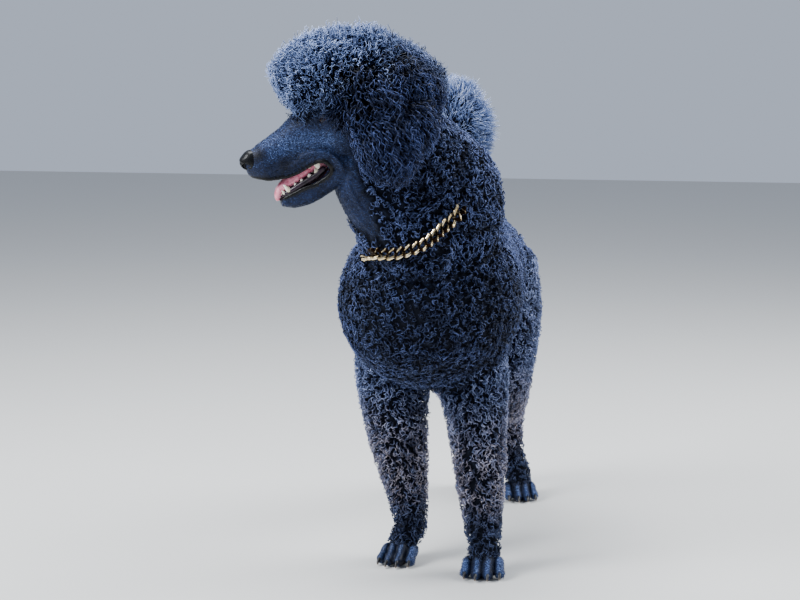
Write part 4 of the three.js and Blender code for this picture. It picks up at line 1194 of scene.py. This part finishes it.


# Reach and tone of the tufts: light, pale and brown. Heights are in metres over the floor, or on the head
# in millimetres over the nose's tip. The body's coat is painted lighter above 0.5 m, as lit from above.
# The lower legs are browned and end dark, and the topknot is painted paler above and behind, as lit from
# above, with painted shade on its fringe that hangs farther over the eyes. All coats are lighter on their
# mounds and darker between them, as painted light and shade.
def tuftLooks(kind, here, reach):
    habit = growth[kind]
    count = len(here)
    height = here[:, 2]
    back, high, _ = toHead(here)
    mounds = moundsOf(here)
    reach = reach * np.clip(0.93 + 0.22 * mounds + rng.normal(0, 0.05, count), 0.6, 1.1)
    stray = rng.random(count) < habit["stray"]
    reach = np.where(stray, reach * rng.uniform(1, habit["strayReach"], count), reach)
    nearChain = np.full(count, 9.0)
    for place in shownLine:
        nearChain = np.minimum(nearChain, np.linalg.norm(here - place, axis=1))
    reach = np.where(nearChain < chain["clear"] / 1000, reach * chain["press"], reach)
    pale, brown, light = habit["pale"], np.zeros(count), habit["light"]
    if kind == "body":
        light = light * np.interp(height, [0.5, 0.6], [1, 1.3])
    if kind == "leg":
        brown = np.interp(height, [0.08, 0.13, 0.22, 0.32], [0.1, 1, 0.9, 0.1])
        brown = brown * rng.uniform(0.2, 0.95, count)
        reach = reach * np.interp(height, [0.036, 0.075], [0.7, 1])
        light = light * np.interp(height, [0.04, 0.09, 0.14], [0.55, 0.62, 1])
    if kind == "topknot":
        pale = np.interp(high - 0.4 * back, [-80, 60], [pale, 1])
        reach = reach * np.where((back > 105) & (back < 172), np.interp(high, [40, 75], [1.35, 1]), 1)
        # Painted shade under the topknot, on its low front
        light = light * np.where(back < 190, np.interp(high, [20, 62], [0.35, 1]), 1)
    pale = np.clip(pale * rng.uniform(0.5, 1.5, count), 0, 1)
    # Painted light on the mounds and painted shade between them, with a random unevenness
    light = light * np.clip(0.95 + 0.4 * mounds + rng.normal(0, 0.1, count), 0.4, 1.25)
    return reach, np.stack([light, pale, brown], 1)


# The coats, each from its share of the places on the guide
hair = curlyHair()
line = chainLine()
shownLine = np.array([tuple(place) for place in line[:int(chain["shown"] * chain["steps"]):3]])
finest = 0.004  # metres between the places on the guide
points, ways = spreadOver(guide, finest)
number = limbOf(points)
bare = shavedPlaces(points)
back, high, left = toHead(points)
fallTop = ear["top"] + rng.normal(0, 22, len(points))
fallFront = ear["front"] + rng.normal(0, 10, len(points))
falling = (number == list(limbs).index("topknot")) & (high < fallTop) & (back > fallFront)
number[falling & (np.abs(left) > ear["inner"])] = len(limbs)
allRoots = []
for kind in dict.fromkeys(limbKinds):
    share = (finest / (growth[kind]["apart"] / 1000)) ** 2
    mine = np.array([limbKinds[n] == kind for n in number]) & ~bare & (rng.random(len(points)) < share)
    roots, reach = reachOf(points[mine], ways[mine])
    reach, tone = tuftLooks(kind, points[mine], reach)
    growCoat(kind, roots, ways[mine], reach, layOf(kind, points[mine]), tone)
    allRoots.append(roots)
bpy.data.objects.remove(guide)
allRoots = np.concatenate(allRoots)


# How far each place is from the lips, and whether it is inside the mouth
def mouthPlaces(points):
    edge = np.full(len(points), 99.0)
    for side in (1, -1):
        lips = [section(headPoint(back, up, side * out), 1, 1) for back, up, out in lipLine]
        for ring in ringsOf(lips, 0, 3):
            edge = np.minimum(edge, np.linalg.norm(points - np.array(metres(ring["at"])), axis=1) * 1000)
    back, high, left = toHead(points)
    inside = ((back > 36) & (back < 150) & (high < -34) & (high > -84)
              & (np.abs(left) < np.interp(back, [36, 60, 130], [9, 15, 25])) & (edge > 4))
    return edge, inside


# Painted light and shade of the shaved hair, 0 dark to 1 pale, as soft spots on the head: place
# (back, up), half-length and half-height, and how much. It is paler along the upper muzzle and the cheek,
# darker over the whiskers, behind the nose, under the eye's fringe, on the lower jaw and on the throat. The
# grooves between the toes are darker and the toes lighter, as painted shade and light.
shades = [((66, -2), (52, 19), 0.26), ((56, -34), (27, 12), -0.55), ((31, -4), (12, 9), -0.6),
          ((146, 22), (30, 12), -0.5), ((138, -18), (34, 16), 0.2), ((90, -100), (60, 16), -0.12),
          ((178, -150), (45, 60), -0.2)]


def shadeOf(points):
    back, high, left = toHead(points)
    shade = np.full(len(points), 0.5)
    for (spotBack, spotUp), (long, tall), amount in shades:
        spot = np.exp(-((back - spotBack) / long) ** 2 - ((high - spotUp) / tall) ** 2)
        shade += amount * spot * (np.abs(left) > 4)
    for paw in paws.values():
        side, place = pawFrame(paw)
        away = points - np.array(metres(place(0, 0, 0)))
        near = (np.linalg.norm(away[:, :2], axis=1) < 0.07) & (away[:, 2] < 0.07)
        out = np.abs(away @ np.array(side)) * 1000 / paw["spread"]
        groove = np.minimum(out, np.abs(out - 1)) / 0.5
        shade[near] = np.interp(groove, [0, 0.35, 0.8], [0, 0.25, 0.78])[near]
    return np.clip(shade, 0, 1)


# The clipped hair of the face, throat and feet: short, fine and flat. It stops these millimetres from the
# lips, behind the nose's tip, over the floor and from the middle of the eye.
clipped = {"lips": 4.2, "nose": 28, "floor": 4, "eye": 15.5}


def clippedPlaces(places):
    edge, inside = mouthPlaces(places)
    clear = shavedPlaces(places) & (edge > clipped["lips"]) & ~inside
    clear &= (toHead(places)[0] > clipped["nose"]) & (places[:, 2] > clipped["floor"] / 1000)
    for side in (1, -1):
        clear &= np.linalg.norm(places - np.array(metres(eyeCentre(side))), axis=1) > clipped["eye"] / 1000
    return clear


roots, ways = spreadOver(skin, growth["clipped"]["apart"] / 1000, clippedPlaces)
pale = rng.uniform(0, 0.35, len(roots))
# The clipped hair takes the same painted light and shade
light = rng.uniform(0.5, 1, len(roots)) * (0.35 + 1.3 * shadeOf(roots))
reach = rng.uniform(0.0008, 0.0016, len(roots))
growCoat("clipped", roots, ways, reach, layOf("clipped", roots), np.stack([light, pale, pale * 0], 1))


# Marks on the skin: bare lips, a darker muzzle's end, the mouth's dark red lining, black under the coat as
# painted shade, and the painted light and shade
def markSkin():
    edge, inside = mouthPlaces(skinPoints)
    back, high, _ = toHead(skinPoints)
    rootsTree = KDTree(len(allRoots))
    for i, root in enumerate(allRoots):
        rootsTree.insert(root, i)
    rootsTree.balance()
    gap = np.array([rootsTree.find(place)[2] for place in skinPoints])
    muzzle = np.interp(back, [15, 40], [0.5, 0]) * (high < 60)
    colours = np.zeros((len(skinPoints), 4), np.float32)
    colours[:, 0] = np.maximum(np.interp(edge, [3.6, 6, 14], [1, 0.3, 0]), muzzle)
    colours[:, 1] = inside
    colours[:, 2] = np.interp(gap, [0.005, 0.012], [1, 0])
    colours[:, 3] = shadeOf(skinPoints)
    layer = skin.data.attributes.new("marks", "FLOAT_COLOR", "POINT")
    layer.data.foreach_set("color", colours.reshape(-1))


markSkin()
finish(skin, clippedHair(), "skin", "torso", "neck", "head", "lower_jaw", "ear_left", "ear_right",
       "foreleg_left", "foreleg_right", "hindleg_left", "hindleg_right", "paw_fore_left", "paw_fore_right",
       "paw_hind_left", "paw_hind_right", "tail", "tail_pompon")
modelChain(line)
film = wetEye()
modelEye("eyeballLeft", 1, film, "eye_left")
modelEye("eyeballRight", -1, film, "eye_right")
modelNose()
modelTongue()
modelGums()
modelTeeth()
modelClaws()
print("small pieces done")

# Floor of pale matt paper, against which the dark coat stands out, and light. Each lamp has its place in
# metres, its watts and its size, and looks at the dog's middle.
studio = {"paper": "#c9c8c4", "sky": "#d3dff5", "skyStrength": 0.7, "lampColour": (0.93, 0.96, 1),
          "middle": (0, 0, 0.5), "lamps": {"keyLight": ((-2.2, -2.0, 2.4), 190, 1.5),
                                           "rimLight": ((2.2, 0.9, 2.2), 130, 1.8),
                                           "topLight": ((-0.5, -0.2, 3.2), 150, 1.6)}}
deselect()
bpy.ops.mesh.primitive_plane_add(size=14, location=(0, 1.5, 0))
ground = bpy.context.object
ground.name = "floor"
paper, _ = newMaterial("paleMattPaper", {"Base Color": colour(studio["paper"]), "Roughness": 0.9})
ground.data.materials.append(paper)
world = bpy.data.worlds.new("studio")
bpy.context.scene.world = world
world.use_nodes = True
world.node_tree.nodes["Background"].inputs["Color"].default_value = colour(studio["sky"])
world.node_tree.nodes["Background"].inputs["Strength"].default_value = studio["skyStrength"]
for name, (place, watts, size) in studio["lamps"].items():
    bpy.ops.object.light_add(type="AREA", location=place)
    lamp = bpy.context.object
    lamp.name = name
    lamp.data.energy = watts
    lamp.data.size = size
    lamp.data.color = studio["lampColour"]
    lamp.rotation_euler = (Vector(studio["middle"]) - Vector(place)).to_track_quat("-Z", "Y").to_euler()
